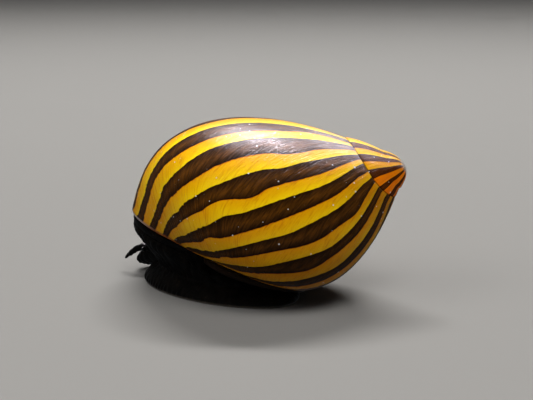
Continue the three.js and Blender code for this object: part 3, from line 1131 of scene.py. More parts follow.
@dataclass
class Shell:
    """The shell: last whorl with its lip, spire and apex."""

    form: CoilForm = field(default_factory=CoilForm)
    bands: Bands = field(default_factory=Bands)
    around: int = 420
    rows: int = 150
    row_spread: float = 1.05
    lip_steps: tuple = ((0.0, 0.18), (0.05, 0.4), (0.2, 0.6), (0.6, 0.8), (1.2, 0.8))
    lip_step_along: float = 0.1
    plug_at: tuple = (0.0, -1.0)
    plug_height: float = 1.2
    groove: float = 0.12
    groove_width: float = 0.12
    whorl_tuck: float = 0.06
    spire_lap: float = 0.03
    spire_rows: int = 46
    apex_at: float = 1.15
    apex_nub: float = 0.06
    apex_rounding: float = 2.1
    apex_rows: int = 26
    apex_first: float = 0.04
    apex_last: float = 0.99
    joint_lap: float = 0.02
    joint_inset: float = 0.1
    growth_slant: float = 21.0
    growth_turn: float = 0.35
    growth_turn_from: float = 18.5
    spire_rim_at: float = 20.0
    spire_warmth: float = 0.8
    spire_gloss: float = 0.45

    def azimuths(self) -> Points:
        """Azimuths round the coil, from minus pi."""
        return np.linspace(-math.pi, math.pi, self.around, endpoint=False)

    def layers(
        self,
        surface: Surface,
        azimuth: Points,
        along: Points,
        rim_along: Points,
        bands: Bands,
        seam: Points,
    ) -> None:
        """Gives each face corner its band number, growth line and distance to the rim.

        Args:
            surface: the mesh in the making, whose first points are a grid of rows and azimuths.
            azimuth: azimuths of the grid's columns.
            along: distances along the profile, as (row, column).
            rim_along: distance along the profile of the rim at each column.
            bands: the bands that it carries.
            seam: distance to the suture, as (row, column).
        """
        columns = len(azimuth)
        wide = np.append(azimuth, math.pi)
        wide_along = np.column_stack([along, along[:, 0]])
        wide_rim = np.append(rim_along, rim_along[0])
        rim = wide_rim - wide_along
        band = bands.phase(np.broadcast_to(wide, wide_along.shape), wide_along, rim)
        turned = self.growth_turn * np.maximum(wide_along - self.growth_turn_from, 0) ** 2
        growth = wide_along + turned + self.growth_slant * wide
        flat = len(azimuth) * len(along)
        seam = np.column_stack([seam, seam[:, 0]])
        tables = {"band": band, "growth": growth, "rim": rim, "seam": seam, "along": wide_along}
        values = {key: [] for key in tables}
        for face in surface.faces:
            cols = [index % columns for index in face if index < flat]
            wraps = bool(cols) and max(cols) == columns - 1 and min(cols) == 0
            for index in face:
                row, col = (index // columns, index % columns) if index < flat else (-1, cols[0])
                col = columns if wraps and col == 0 else col
                for key, table in tables.items():
                    values[key].append(table[row][col])
        surface.layers = values

    def grooved(self, rings: Points, along: Points, to_seam: Points) -> Points:
        """Rings sunk into the groove along the suture.

        Args:
            rings: points as (row, column, xyz).
            along: their distances along the profile.
            to_seam: their distances to the suture.

        Returns:
            The sunk points.
        """
        inward = unit(self.form.axis_point(along, along) - rings)
        depth = self.groove * np.exp(-(to_seam / self.groove_width))
        return rings + inward * depth[..., None]

    def last_whorl(self) -> bpy.types.Object:
        """The last whorl from the suture down to its lip, closed behind the lip.

        Returns:
            The piece.
        """
        form, azimuth = self.form, self.azimuths()
        start, end = form.suture(azimuth) - self.whorl_tuck, form.along_at(azimuth, 0.0)
        share = np.linspace(0, 1, self.rows)[:, None] ** self.row_spread
        along = start + (end - start) * share
        rings = self.grooved(form.point(azimuth, along), along, along - start)
        lip = [form.inset_rim(azimuth, height, inset) for height, inset in self.lip_steps]
        crown = form.axis_point(form.suture_old, form.suture_old)
        plug = form.mouth_point(*np.array(self.plug_at)[:, None], self.plug_height)[0]
        surface = Surface()
        surface.add_rings(np.concatenate([rings, np.array(lip)]), crown, plug)
        under = end + self.lip_step_along * np.arange(1, len(lip) + 1)[:, None]
        all_along = np.concatenate([along, under])
        self.layers(surface, azimuth, all_along, end, self.bands, all_along - start)
        return surface.build("shell_last_whorl")

    def spire(self) -> bpy.types.Object:
        """The older whorls, whose bands are set off from those of the last whorl.

        Returns:
            The piece.
        """
        form, azimuth = self.form, self.azimuths()
        suture = form.suture(azimuth)
        start, end = self.apex_at - self.joint_lap, suture + self.spire_lap
        along = start + (end - start) * np.linspace(0, 1, self.spire_rows)[:, None]
        along[1] = start + self.joint_lap / 2
        plain = form.point(azimuth, along)
        rings = self.grooved(plain, along, end - along)
        rings[0] += self.joint_inset * unit(form.axis_point(along, along) - plain)[0]
        front = form.axis_point(start, start)
        back = form.axis_point(form.suture_old, form.suture_old)
        surface = Surface()
        surface.add_rings(rings, front, back)
        self.layers(surface, azimuth, along, suture + self.spire_rim_at, SPIRE_BANDS, suture - along)
        return surface.build("shell_spire_whorls")

    def apex(self) -> bpy.types.Object:
        """The blunt tip, banded like the spire and worn at its very end.

        Returns:
            The piece.
        """
        form, azimuth = self.form, self.azimuths()
        tip = form.axis_point(-self.apex_nub, 0.0)
        edge = form.point(azimuth, np.full_like(azimuth, self.apex_at))
        depth = ((edge - tip) @ form.axis)[:, None]
        share = np.append(np.linspace(self.apex_first, 1, self.apex_rows), 1.0)
        share[-3] = self.apex_last
        rings = [tip + (edge - tip) * t + depth * (t**self.apex_rounding - t) * form.axis for t in share]
        back = form.axis_point(self.apex_at, self.apex_at)
        rings[-1] = rings[-1] + self.joint_inset * unit(back - rings[-1])
        along = np.repeat(share[:, None] * self.apex_at, len(azimuth), axis=1)
        surface = Surface()
        surface.add_rings(np.array(rings), tip, back)
        suture = form.suture(azimuth)
        self.layers(surface, azimuth, along, suture + self.spire_rim_at, SPIRE_BANDS, suture - along)
        return surface.build("shell_apex_tip")

    def dress(self) -> None:
        """Builds the pieces of the shell and gives them their finishes."""
        gold = ShellFinish().material("banded shell")
        duller = ShellFinish(gloss=self.spire_gloss)
        orange = duller.material("banded spire", warm=self.spire_warmth)
        worn = duller.material("worn apex", warm=self.spire_warmth, worn=True)
        settle(self.last_whorl(), Slot.SHELL, gold, "shell_body_whorl", "shell_outer_lip")
        settle(self.spire(), Slot.SHELL, orange, "shell_spire")
        settle(self.apex(), Slot.APEX, worn, "shell_apex")


@dataclass
class SoftForm:
    """Measures of the soft body in millimetres, and the curves that its pieces share."""

    form: CoilForm = field(default_factory=CoilForm)
    head_turn: float = 135 * DEG
    half_length: float = 9.2
    half_width: float = 5.6
    broader_front: float = 0.08
    tail_thinner: float = 0.3
    stalk_centre: tuple = (-1.0, 1.0)
    stalk_reach: float = 7.6
    stalk_forward: float = 1.6
    lip_from: float = -58 * DEG
    lip_to: float = 150 * DEG
    corner_gap: float = 2 * DEG
    rim_points: int = 110
    deck_points: int = 50
    deck_teeth: int = 5
    deck_tooth: float = 0.35
    deck_teeth_from: float = 0.3
    deck_teeth_span: float = 0.4
    deck_bow: float = 0.5
    deck_clear: float = 0.3
    plate_centre: tuple = (3.1, -2.9)
    plate_half_length: float = 5.2
    plate_reach: float = 4.3
    plate_squareness: float = 0.8
    plate_points: int = 90
    plate_top: float = -0.35
    plate_thick: float = 0.6

    def __post_init__(self) -> None:
        """Works out the way ahead and the animal's right."""
        self.ahead = np.array([math.cos(self.head_turn), math.sin(self.head_turn), 0.0])
        self.aside = np.array([self.ahead[1], -self.ahead[0], 0.0])
        self.corners = self.form.rim(np.array([self.lip_from, self.lip_to]), 0.0)

    def place(self, forward: Points, side: Points, up: Points) -> Points:
        """Points given by their place ahead, to the animal's right and up."""
        forward, side, up = np.broadcast_arrays(*(np.asarray(v, float) for v in (forward, side, up)))
        return forward[..., None] * self.ahead + side[..., None] * self.aside + up[..., None] * RISE

    def foot_ring(self, directions: Points, share: float, up: float) -> Points:
        """Edge of the foot at a share of the sole's size.

        Args:
            directions: angles round the foot in radians.
            share: the share of the sole's size.
            up: the height at the front, which falls towards the tail.

        Returns:
            The points.
        """
        turn = directions - self.head_turn
        forward = np.cos(turn)
        side = -np.sin(turn) * (1 + self.broader_front * forward)
        lower = 1 - self.tail_thinner * (1 - forward) / 2
        length, width = self.half_length * share, self.half_width * share
        return self.place(length * forward, width * side, up * lower)

    def deck_edge(self, height: float, shift: float, share: Points, toothed: bool) -> Points:
        """Inner edge of the deck, from the near front of the mouth to its back corner.

        Args:
            height: height above the plane of the mouth.
            shift: how far the edge is moved into the mouth.
            share: places along the edge, from 0 to 1.
            toothed: whether the middle carries teeth.

        Returns:
            The points of the edge.
        """
        start, end = self.corners
        across = np.array([start[1] - end[1], end[0] - start[0], 0.0])
        across /= np.linalg.norm(across)
        bow = shift - self.deck_bow * np.sin(math.pi * share)
        if toothed:
            past = (share - self.deck_teeth_from) / self.deck_teeth_span
            teeth = self.deck_tooth * np.abs(np.sin(self.deck_teeth * math.pi * past))
            bow = bow + np.where((past > 0) & (past < 1), teeth, 0.0)
        flat = start + share[:, None] * (end - start) + bow[:, None] * across
        return self.form.mouth_point(flat[:, 0], flat[:, 1], height)

    def mouth_ring(self, height: float, inset: float) -> Points:
        """Outline of the mouth between the lip and the deck.

        Args:
            height: height above the plane of the mouth.
            inset: how far it lies inside the lip.

        Returns:
            The points.
        """
        start, end = self.lip_from + self.corner_gap, self.lip_to - self.corner_gap
        rim = self.form.inset_rim(np.linspace(start, end, self.rim_points), height, inset)
        share = np.linspace(1, 0, self.deck_points)
        edge = self.deck_edge(height, self.deck_tooth + self.deck_clear, share, False)
        return np.concatenate([rim, edge[1:-1]])

    def plate_ring(self, height: float, inset: float) -> Points:
        """Outline of the operculum: a half disc under the deck.

        Args:
            height: height above the plane of the mouth.
            inset: how far it lies inside the edge.

        Returns:
            The points.
        """
        start, end = self.corners
        along = end - start
        along = np.array([along[0], along[1], 0.0]) / math.hypot(along[0], along[1])
        out = np.array([along[1], -along[0], 0.0])
        a = np.linspace(0, math.pi, self.plate_points)
        reach = (self.plate_reach - inset) * np.sin(a) ** self.plate_squareness + min(inset, 0.0)
        flat = (self.plate_half_length - inset) * np.cos(a)[:, None] * along + reach[:, None] * out
        cx, cy = self.plate_centre
        return self.form.mouth_point(cx + flat[:, 0], cy + flat[:, 1], height)


def reach_of(outline: Points, centre: tuple, direction: float) -> float:
    """Distance from a plan centre to an outline in one direction.

    Args:
        outline: points of a closed line.
        centre: a place inside it, as x and y.
        direction: an angle in radians.

    Returns:
        The distance.
    """
    a, b = outline[:, :2] - centre, np.roll(outline, -1, axis=0)[:, :2] - centre
    way = np.array([math.cos(direction), math.sin(direction)])
    side = a - b
    det = way[0] * side[:, 1] - way[1] * side[:, 0]
    along = (a[:, 0] * side[:, 1] - a[:, 1] * side[:, 0]) / det
    share = (way[0] * a[:, 1] - way[1] * a[:, 0]) / det
    return float(along[(share >= 0) & (share <= 1)].max())


def glide(stops: Points, share: Points) -> Points:
    """Values on a smooth curve through stops.

    Args:
        stops: one row for each stop.
        share: places along the curve, from 0 to 1.

    Returns:
        One row for each place.
    """
    stops = np.asarray(stops, float)
    padded = np.concatenate([[2 * stops[0] - stops[1]], stops, [2 * stops[-1] - stops[-2]]])
    last = len(stops) - 1
    place = np.clip(np.asarray(share, float) * last, 0, last - 1e-9)
    i = place.astype(int)
    t = (place - i)[:, None]
    a, b, c, d = (padded[i + k] for k in range(4))
    bend, turn = 2 * a - 5 * b + 4 * c - d, 3 * b - a - 3 * c + d
    return 0.5 * (2 * b + (c - a) * t + bend * t**2 + turn * t**3)


@dataclass
class Wrinkles:
    """Fine folds and grain of the skin.

    Folds, rings and fringe are waves, given as their number and how far they wander. The grain's kind is
    its roughness, step between octaves and number of octaves. Every other pair is a range, from where a
    thing starts to where it is full.
    """

    soft: SoftForm
    depth: float = 0.05
    grain_depth: float = 0.035
    grain_scale: float = 2.1
    grain_kind: tuple = (1.0, 2.2, 3)
    wander_scale: float = 0.45
    seed: float = 4.7
    under_lip: tuple = (-0.7, -1.5)
    above_floor: tuple = (0.0, 0.5)
    head_ahead: tuple = (5.0, 6.5)
    head_side: tuple = (3.2, 2.6)
    folds: tuple = (34, 7)
    fold_heights: tuple = (1.2, 2.0)
    rings: tuple = (9, 5)
    ring_share: float = 0.45
    fringe: tuple = (58, 9)
    fringe_heights: tuple = (1.0, 0.5)
    fringe_share: float = 0.6

    def offset(self, points: Points) -> Points:
        """How far each point of the skin moves along its normal.

        Args:
            points: the skin's points.

        Returns:
            One length for each point.
        """
        soft, up = self.soft, points[:, 2]
        forward, side = points @ soft.ahead, points @ soft.aside
        free = eased(soft.form.above_mouth(points), self.under_lip) * eased(up, self.above_floor)
        turn = np.arctan2(points[:, 1] - soft.stalk_centre[1], points[:, 0] - soft.stalk_centre[0])
        start = Vector((self.seed, 0, 0))
        wander = np.array([noise.noise(Vector(p) * self.wander_scale + start) for p in points])
        grain = np.array([noise.fractal(Vector(p) * self.grain_scale, *self.grain_kind) for p in points])
        head = eased(forward, self.head_ahead) * eased(np.abs(side), self.head_side)
        places = ((turn, self.folds), (forward, self.rings), (turn, self.fringe))
        folds, rings, fringe = (np.sin(place * number + wander * far) for place, (number, far) in places)
        folds *= (1 - head) * eased(up, self.fold_heights)
        rings *= head * self.ring_share
        fringe *= eased(up, self.fringe_heights) * self.fringe_share
        return free * (self.depth * (folds + rings + fringe) + self.grain_depth * grain)


@dataclass
class MouthLine:
    """The slit of the mouth across the snout, between two soft lips."""

    soft: SoftForm
    ahead: float = 11.0
    reach: tuple = (-0.9, -0.4)
    up: float = 0.75
    half_width: float = 1.3
    curve: float = 0.1
    slit_depth: float = 0.6
    slit_width: float = 0.11
    lip_height: float = 0.09
    lip_place: float = 0.3
    lip_width: float = 0.14

    def push(self, points: Points) -> Points:
        """How far each point of the skin moves ahead.

        Args:
            points: the skin's points.

        Returns:
            One length for each point.
        """
        forward, side = points @ self.soft.ahead, points @ self.soft.aside
        front = eased(forward - self.ahead, self.reach)
        across = 1 - np.clip(np.abs(side) / self.half_width, 0, 1) ** 2
        off = np.abs(points[:, 2] - self.up - self.curve * (side / self.half_width) ** 2)
        slit = np.exp(-((off / self.slit_width) ** 2))
        lips = np.exp(-(((off - self.lip_place) / self.lip_width) ** 2))
        return front * np.sqrt(across) * (self.lip_height * lips - self.slit_depth * slit)


@dataclass
class Flesh:
    """Foot, stalk, mantle edge, head, tentacles and eyestalks as one skin.

    The foot's profile and the stalk's waist and root are given as share of the sole's size and height.
    The mantle's profile and the stalk's top are given as height above the mouth and inset. The crown
    of the stalk is given as share of its reach and height above the mouth, and its profile as how far it
    has come aside and down. A section of the head is place ahead, height, half width and half height.
    """

    soft: SoftForm = field(default_factory=SoftForm)
    voxel: float = 0.085
    around: int = 120
    foot_profile: tuple = ((0.80, 2.0), (0.88, 1.5), (0.96, 0.9), (1.0, 0.35), (0.97, 0.0))
    foot_rings: int = 24
    sole_rings: tuple = (0.9, 0.7, 0.4)
    stalk_top: tuple = (-1.2, 0.35)
    stalk_crown: tuple = (0.85, -0.6)
    stalk_waist: tuple = (0.78, 1.9)
    stalk_root: tuple = (0.7, 1.2)
    stalk_profile: tuple = ((0.0, 0.0), (0.1, 0.2), (0.4, 0.45), (0.76, 0.75), (1.0, 1.0))
    stalk_rings: int = 26
    mantle_outer: tuple = ((0.9, 1.1), (0.3, 1.1), (0.0, 0.95), (-0.12, 0.7), (-0.25, 0.45))
    mantle_middle: tuple = ((-0.42, 0.29), (-0.62, 0.25), (-0.82, 0.33))
    mantle_under: tuple = ((-0.98, 0.55), (-1.1, 0.9), (-1.3, 1.4))
    head_sections: tuple = (
        (3.0, 3.2, 2.9, 2.2),
        (5.5, 2.9, 2.6, 2.0),
        (7.4, 2.4, 2.3, 1.7),
        (8.8, 1.95, 2.4, 1.45),
        (9.8, 1.5, 2.3, 1.15),
        (10.6, 1.15, 1.9, 0.8),
        (11.0, 1.0, 1.2, 0.5),
    )
    head_rings: int = 60
    head_around: int = 72
    head_flatter: float = 0.92
    left_tentacle: tuple = ((8.2, -1.5, 2.8), (9.3, -2.3, 2.7), (10.5, -2.6, 2.0), (11.6, -2.6, 1.2))
    right_tentacle: tuple = ((8.2, 1.5, 2.8), (9.5, 2.4, 3.4), (11.2, 3.4, 3.6), (12.8, 4.1, 3.1))
    tentacle_radii: tuple = (0.42, 0.34, 0.28, 0.12)
    tentacle_rings: int = 90
    tentacle_around: int = 20
    ripple: float = 0.05
    ripple_waves: float = 150
    eyestalk: tuple = (7.9, 2.1, 2.9)
    eyestalk_radius: float = 0.45
    eyestalk_length: float = 0.82
    eyestalk_turns: tuple = (0.15, 0.86 * math.pi)
    eyestalk_fullness: float = 0.8
    eyestalk_rings: int = 24
    eyestalk_around: int = 32
    seat_gap: float = 0.1
    seat_top: float = 0.3
    seat_floor: float = 0.02
    relax_rounds: int = 6
    relax_share: float = 0.5
    relax_less: float = 0.35
    thin_ahead: tuple = (7.5, 8.2)
    thin_side: float = 2.3
    flat_under: float = 0.05
    sole_heights: tuple = (0.3, 0.05)

    def foot(self) -> Points:
        """The spread foot, from its flat sole up to the waist.

        Returns:
            Its rings.
        """
        directions = full_turn(self.around)
        profile = glide(self.foot_profile, np.linspace(0, 1, self.foot_rings))
        steps = [*profile, *((share, 0.0) for share in self.sole_rings)]
        return np.array([self.soft.foot_ring(directions, share, max(up, 0.0)) for share, up in steps])

    def stalk(self) -> Points:
        """The stalk, from just under the mouth of the shell down into the foot.

        Returns:
            Its rings.
        """
        form, (cx, cy) = self.soft.form, self.soft.stalk_centre
        directions = full_turn(self.around)
        outline = self.soft.mouth_ring(*self.stalk_top)
        limit = self.soft.stalk_reach - self.soft.stalk_forward * np.cos(directions)
        reach = np.array([reach_of(outline, (cx, cy), d) for d in directions])
        reach = np.minimum(reach, limit)
        x, y = reach * np.cos(directions), reach * np.sin(directions)
        top = form.mouth_point(cx + x, cy + y, self.stalk_top[0])
        waist = self.soft.foot_ring(directions, *self.stalk_waist)
        crown, crown_height = self.stalk_crown
        rings = [form.mouth_point(cx + crown * x, cy + crown * y, crown_height)]
        for share, rise in glide(self.stalk_profile, np.linspace(0, 1, self.stalk_rings)):
            rings.append(top + (waist - top) * np.array([share, share, rise]))
        rings.append(self.soft.foot_ring(directions, *self.stalk_root))
        return np.array(rings)

    def mantle(self) -> Points:
        """The mantle edge, a soft roll just inside the lip."""
        steps = self.mantle_outer + self.mantle_middle + self.mantle_under
        return np.array([self.soft.mouth_ring(height, inset) for height, inset in steps])

    def head(self) -> Points:
        """Neck, head and broad flat snout.

        Returns:
            Their rings.
        """
        a = full_turn(self.head_around)
        low = np.where(np.sin(a) < 0, self.head_flatter, 1.0)
        rings = []
        for forward, up, wide, high in glide(self.head_sections, np.linspace(0, 1, self.head_rings)):
            rings.append(self.soft.place(forward, wide * np.cos(a), up + high * low * np.sin(a)))
        return np.array(rings)

    def tentacle(self, stops: tuple) -> Points:
        """One tapering tentacle with a fine ring pattern.

        Args:
            stops: places ahead, aside and up that it passes through.

        Returns:
            Its rings.
        """
        share = np.linspace(0, 1, self.tentacle_rings)
        path = self.soft.place(*glide(stops, share).T)
        last = len(self.tentacle_radii) - 1
        radius = np.interp(share * last, range(last + 1), self.tentacle_radii)
        radius *= 1 + self.ripple * np.sin(share * self.ripple_waves)
        tangent = unit(np.gradient(path, axis=0))
        side = unit(np.cross(tangent, RISE))
        up = np.cross(side, tangent)
        a = full_turn(self.tentacle_around)[None, :, None]
        circle = np.cos(a) * side[:, None] + np.sin(a) * up[:, None]
        return path[:, None] + radius[:, None, None] * circle

    def stem(self, out: int) -> Points:
        """One short eyestalk with a blunt end for the eye.

        Args:
            out: -1 for the left, 1 for the right.

        Returns:
            Its rings.
        """
        forward, side, up = self.eyestalk
        a = full_turn(self.eyestalk_around)
        rings = []
        for turn in np.linspace(*self.eyestalk_turns, self.eyestalk_rings):
            reach = side - self.eyestalk_length * math.cos(turn)
            wide = self.eyestalk_radius * math.sin(turn) ** self.eyestalk_fullness
            rings.append(self.soft.place(forward + wide * np.cos(a), out * reach, up + wide * np.sin(a)))
        return np.array(rings)

    def carved(self, rings: Points) -> bpy.types.Object:
        """A closed body with a seat for the operculum cut out of it.

        Args:
            rings: the body's rings.

        Returns:
            The body.
        """
        soft = self.soft
        floor = soft.plate_top - soft.plate_thick + self.seat_floor
        seat, body = Surface(), Surface()
        seat.add_solid(np.array([soft.plate_ring(up, -self.seat_gap) for up in (self.seat_top, floor)]))
        body.add_solid(rings)
        tool, obj = seat.raw("seat"), body.raw("body")
        cut = obj.modifiers.new("seat", "BOOLEAN")
        cut.operation, cut.object, cut.solver = "DIFFERENCE", tool, "EXACT"
        cut.use_self = True
        made = bake(obj)
        bpy.data.objects.remove(tool)
        return made

    def fused(self) -> bpy.types.Mesh:
        """All the soft parts grown together into one skin, in millimetres.

        Returns:
            The skin.
        """
        plain = Surface()
        tentacles = [self.tentacle(stops) for stops in (self.left_tentacle, self.right_tentacle)]
        for rings in (self.mantle(), self.head(), *tentacles, self.stem(-1), self.stem(1)):
            plain.add_solid(rings)
        merged = bmesh.new()
        for obj in (self.carved(self.foot()), self.carved(self.stalk()), plain.raw("plain")):
            merged.from_mesh(obj.data)
            bpy.data.objects.remove(obj)
        mesh = bpy.data.meshes.new("skin")
        merged.to_mesh(mesh)
        merged.free()
        obj = linked("skin", mesh)
        remesh = obj.modifiers.new("fuse", "REMESH")
        remesh.mode, remesh.voxel_size = "VOXEL", self.voxel
        return bake(obj).data

    def build(self) -> bpy.types.Object:
        """Makes the skin: relaxed, then wrinkled, with its sole marked.

        Returns:
            The piece.
        """
        mesh, soft = self.fused(), self.soft
        points = fetched(mesh.vertices, "co", 3)
        edges = fetched(mesh.edges, "vertices", 2, np.int64)
        beside = np.abs(points @ soft.aside) >= self.thin_side
        thin = eased(points @ soft.ahead, self.thin_ahead) * beside
        points = relaxed(points, edges, self.relax_share - self.relax_less * thin, self.relax_rounds)
        mesh.vertices.foreach_set("co", points.ravel())
        mesh.update()
        normals = fetched(mesh.vertex_normals, "vector", 3)
        offset, push = Wrinkles(soft).offset(points), MouthLine(soft).push(points)
        points = points + normals * offset[:, None] + soft.ahead * push[:, None]
        points[:, 2] = np.where(points[:, 2] < self.flat_under, 0.0, points[:, 2])
        corners = fetched(mesh.loops, "vertex_index", 1, np.int64)[:, 0]
        sole = eased(points[:, 2], self.sole_heights)[corners].astype(np.float32)
        mesh.attributes.new("sole", "FLOAT", "CORNER").data.foreach_set("value", sole)
        mesh.vertices.foreach_set("co", to_row(points).ravel())
        mesh.shade_smooth()
        mesh.update()
        return linked("soft_body", mesh)

    def dress(self) -> None:
        """Builds the skin and gives it its finish."""
        sides = ("left", "right")
        nodes = ["mantle_edge", "snout", "head", "neck", "stalk"]
        nodes += ["foot_front", "foot_middle", "foot_tail"]
        nodes += [f"tentacle_{side}_{part}" for side in sides for part in ("base", "tip")]
        nodes += [f"eyestalk_{side}" for side in sides]
        settle(self.build(), Slot.FLESH, SkinFinish().material(), *nodes)


def relaxed(points: Points, edges: Points, share: Points, rounds: int) -> Points:
    """Points drawn towards the middle of their neighbours.

    Args:
        points: the mesh's points.
        edges: pairs of neighbours.
        share: how far each point moves in a round, from 0 to 1.
        rounds: how often.

    Returns:
        The moved points.
    """
    ends = np.concatenate([edges[:, 0], edges[:, 1]])
    others = np.concatenate([edges[:, 1], edges[:, 0]])
    number = np.maximum(np.bincount(ends, minlength=len(points)), 1)
    for _ in range(rounds):
        middle = [np.bincount(ends, points[others, k], len(points)) / number for k in range(3)]
        points = points + (np.stack(middle, axis=-1) - points) * share[:, None]
    return points


@dataclass
class Deck:
    """The flat shelf behind the mouth, with a few low teeth on its inner edge.

    Its profile is given as height above the mouth and share of the way from the rim to the inner edge.
    """

    soft: SoftForm = field(default_factory=SoftForm)
    stations: int = 160
    end_stations: int = 4
    end_gap: float = 4 * DEG
    inset: float = 0.3
    edge_back: float = 0.1
    profile_rim: tuple = ((0.8, 0.0), (0.3, 0.0), (0.1, 0.02), (0.03, 0.06), (0.05, 0.3), (0.1, 0.55))
    profile_edge: tuple = ((0.08, 0.8), (0.05, 0.94), (0.12, 1.0), (0.35, 1.02), (0.8, 1.0))

    def build(self) -> bpy.types.Object:
        """Makes the deck as sections from the rim across to its toothed edge.

        Returns:
            The piece.
        """
        soft, form = self.soft, self.soft.form
        start, end = soft.lip_to + self.end_gap, 2 * math.pi + soft.lip_from - self.end_gap
        azimuth = np.linspace(start, end, self.stations)
        azimuth = np.where(azimuth > math.pi, azimuth - 2 * math.pi, azimuth)
        share = np.linspace(1, 0, self.stations)
        columns = []
        for height, part in self.profile_rim + self.profile_edge:
            rim = form.inset_rim(azimuth, height, self.inset)
            edge = soft.deck_edge(height, -self.edge_back, share, True)
            columns.append(rim + (edge - rim) * part)
        sections = np.stack(columns, axis=1)[self.end_stations : -self.end_stations]
        return closed("shell_deck", sections)

    def dress(self) -> None:
        """Builds the deck and gives it its finish."""
        settle(self.build(), Slot.INSIDE, PorcelainFinish().material(), "shell_columella_deck")


@dataclass
class Plate:
    """The operculum, carried on the tail of the foot.

    Its profile is given as height above the lower face, or depth below the upper one, and inset.
    """

    soft: SoftForm = field(default_factory=SoftForm)
    under: tuple = ((0.0, 3.6), (0.0, 2.4), (0.0, 1.2), (0.0, 0.12), (0.12, 0.02))
    rounding: tuple = ((0.25, 0.0), (0.1, 0.04), (0.03, 0.14))
    ridge_insets: tuple = (0.26, 3.9, 0.09)
    ridge_depth: float = 0.03
    ridge_waves: float = 17
    ridge_fade: float = 3

    def build(self) -> bpy.types.Object:
        """Makes the plate with curved ridges on its outer face.

        Returns:
            The piece.
        """
        low, top = self.soft.plate_top - self.soft.plate_thick, self.soft.plate_top
        steps = [(low + height, inset) for height, inset in self.under]
        steps += [(top - depth, inset) for depth, inset in self.rounding]
        for inset in np.arange(*self.ridge_insets):
            fade = math.exp(-inset / self.ridge_fade)
            depth = self.ridge_depth * (1 + math.sin(inset * self.ridge_waves)) * fade
            steps.append((top - depth, float(inset)))
        rings = np.array([self.soft.plate_ring(height, inset) for height, inset in steps])
        surface = Surface()
        surface.add_solid(rings)
        growth = np.repeat([inset for _, inset in steps], rings.shape[1])
        growth = np.append(growth, [steps[0][1], self.ridge_insets[1]])
        surface.layers = {"growth": [float(growth[index]) for face in surface.faces for index in face]}
        return surface.build("operculum_plate")

    def dress(self) -> None:
        """Builds the plate and gives it its finish."""
        settle(self.build(), Slot.OPERCULUM, OperculumFinish().material(), "operculum")


@dataclass
class Eyes:
    """Two small eyes on the outer ends of the eyestalks."""

    flesh: Flesh
    radius: float = 0.27
    gap: float = 0.12
    stalk_length: float = 0.7
    bulge: float = 0.12
    roundness: float = 0.89
    pole: float = 0.06
    rings: int = 26
    around: int = 32

    def build(self, side: str, out: int) -> bpy.types.Object:
        """Makes one eye with a clear bulge on its outer side.

        Args:
            side: left or right.
            out: -1 for the left, 1 for the right.

        Returns:
            The eye.
        """
        forward, reach, up = self.flesh.eyestalk
        a = full_turn(self.around)
        middle = reach + self.stalk_length + self.radius + self.gap
        soft, rings = self.flesh.soft, []
        for turn in np.linspace(self.pole, math.pi - self.pole, self.rings):
            size = self.radius * (self.roundness + self.bulge * max(math.cos(turn), 0) ** 3)
            place = middle + size * math.cos(turn)
            wide = size * math.sin(turn)
            rings.append(soft.place(forward + wide * np.cos(a), out * place, up + wide * np.sin(a)))
        return closed(f"eye_{side}_ball", np.array(rings))

    def dress(self) -> None:
        """Builds both eyes and gives them their finish."""
        finish = EyeFinish().material()
        for side, out in (("left", -1), ("right", 1)):
            settle(self.build(side, out), Slot.EYE, finish, f"eye_{side}")


@dataclass(frozen=True)
class Light:
    """One soft light that faces the snail, its distance and size in metres and its power in watts."""

    name: str
    direction: tuple
    distance: float
    size: tuple
    power: float
    use: Use

    def hang(self, gleam_colour: tuple) -> None:
        """Puts it into the scene, to light the snail or to be seen in its gloss only.

        Args:
            gleam_colour: the colour of a light that is only seen in gloss.
        """
        data = bpy.data.lights.new(self.name, "AREA")
        data.shape = "RECTANGLE"
        data.size, data.size_y = self.size
        data.energy = self.power
        if self.use is Use.GLOSS:
            data.color = gleam_colour
        obj = linked(self.name, data)
        way = Vector(self.direction).normalized()
        obj.location = way * self.distance + MIDDLE
        obj.rotation_euler = way.to_track_quat("Z", "Y").to_euler()
        obj.visible_glossy = self.use is Use.GLOSS
        obj.visible_diffuse = self.use is Use.FILL


LIGHTS = (
    Light("top_light", (0.05, 0.5, 0.86), 0.5, (0.32, 0.05), 3.4, Use.FILL),
    Light("left_light", (-0.9, -0.5, 0.9), 0.6, (0.3, 0.3), 1.0, Use.FILL),
    Light("front_light", (0.1, -0.55, 1.0), 0.7, (0.4, 0.3), 3.4, Use.FILL),
    Light("sky_gleam", (0.08, 0.38, 0.92), 0.5, (0.42, 0.16), 1.6, Use.GLOSS),
    Light("long_gleam", (-0.1, 0.46, 0.88), 0.49, (0.26, 0.035), 2.8, Use.GLOSS),
    Light("bright_gleam", (0.0, 0.51, 0.86), 0.48, (0.13, 0.035), 2.8, Use.GLOSS),
    Light("right_gleam", (0.25, 0.7, 0.67), 0.49, (0.04, 0.18), 0.6, Use.GLOSS),
    Light("spire_gleam", (0.42, 0.72, 0.55), 0.48, (0.035, 0.035), 2.2, Use.GLOSS),
)


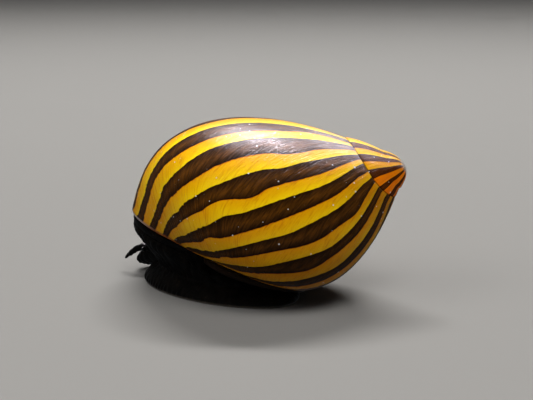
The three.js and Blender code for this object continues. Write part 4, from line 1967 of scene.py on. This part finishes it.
@dataclass
class Studio:
    """Floor, lights and camera."""

    lens: float = 80.85
    sensor: float = 36.0
    nearest: float = 0.005
    camera_mm: tuple = (4.364, -111.765, 32.324)
    look_down: float = 12.0 * DEG
    floor_half: float = 3.0
    floor_colour: tuple = (128, 126, 123)
    floor_roughness: float = 0.75
    gleam_colour: tuple = (1.0, 0.9, 0.98)
    sky_colour: tuple = (0.9, 0.95, 1.0, 1.0)
    sky: float = 0.05

    def camera(self) -> None:
        """Places the camera at the picture's viewing angle."""
        data = bpy.data.cameras.new("camera")
        data.lens = self.lens
        data.sensor_width = self.sensor
        data.sensor_fit = "HORIZONTAL"
        data.clip_start = self.nearest
        obj = linked("camera", data)
        obj.location = Vector(self.camera_mm) * MM + SOLE
        obj.rotation_euler = (math.pi / 2 - self.look_down, 0.0, 0.0)
        bpy.context.scene.camera = obj

    def floor(self) -> None:
        """Lays the plain pale floor."""
        mesh = bpy.data.meshes.new("floor")
        h = self.floor_half
        mesh.from_pydata([(-h, -h, 0), (h, -h, 0), (h, h, 0), (-h, h, 0)], [], [(0, 1, 2, 3)])
        floor = linked("floor", mesh)
        g = Graph("pale floor")
        g.set(Base_Color=screen(self.floor_colour), Roughness=self.floor_roughness)
        g.set(Specular_IOR_Level=0.0)
        mesh.materials.append(g.material)
        floor.visible_glossy = False

    def build(self) -> None:
        """Sets up the whole studio."""
        self.camera()
        self.floor()
        for light in LIGHTS:
            light.hang(self.gleam_colour)
        world = bpy.data.worlds.new("studio")
        world.use_nodes = True
        background = world.node_tree.nodes["Background"]
        background.inputs[0].default_value = self.sky_colour
        background.inputs[1].default_value = self.sky
        bpy.context.scene.world = world
        bpy.context.scene.view_settings.view_transform = "Standard"


def main() -> None:
    """Builds the studio and the snail, piece by piece."""
    logging.basicConfig(level=logging.INFO, format="%(name)s %(message)s")
    Studio().build()
    Shell().dress()
    flesh = Flesh()
    flesh.dress()
    Eyes(flesh).dress()
    Deck().dress()
    Plate().dress()


if __name__ == "__main__":
    main()
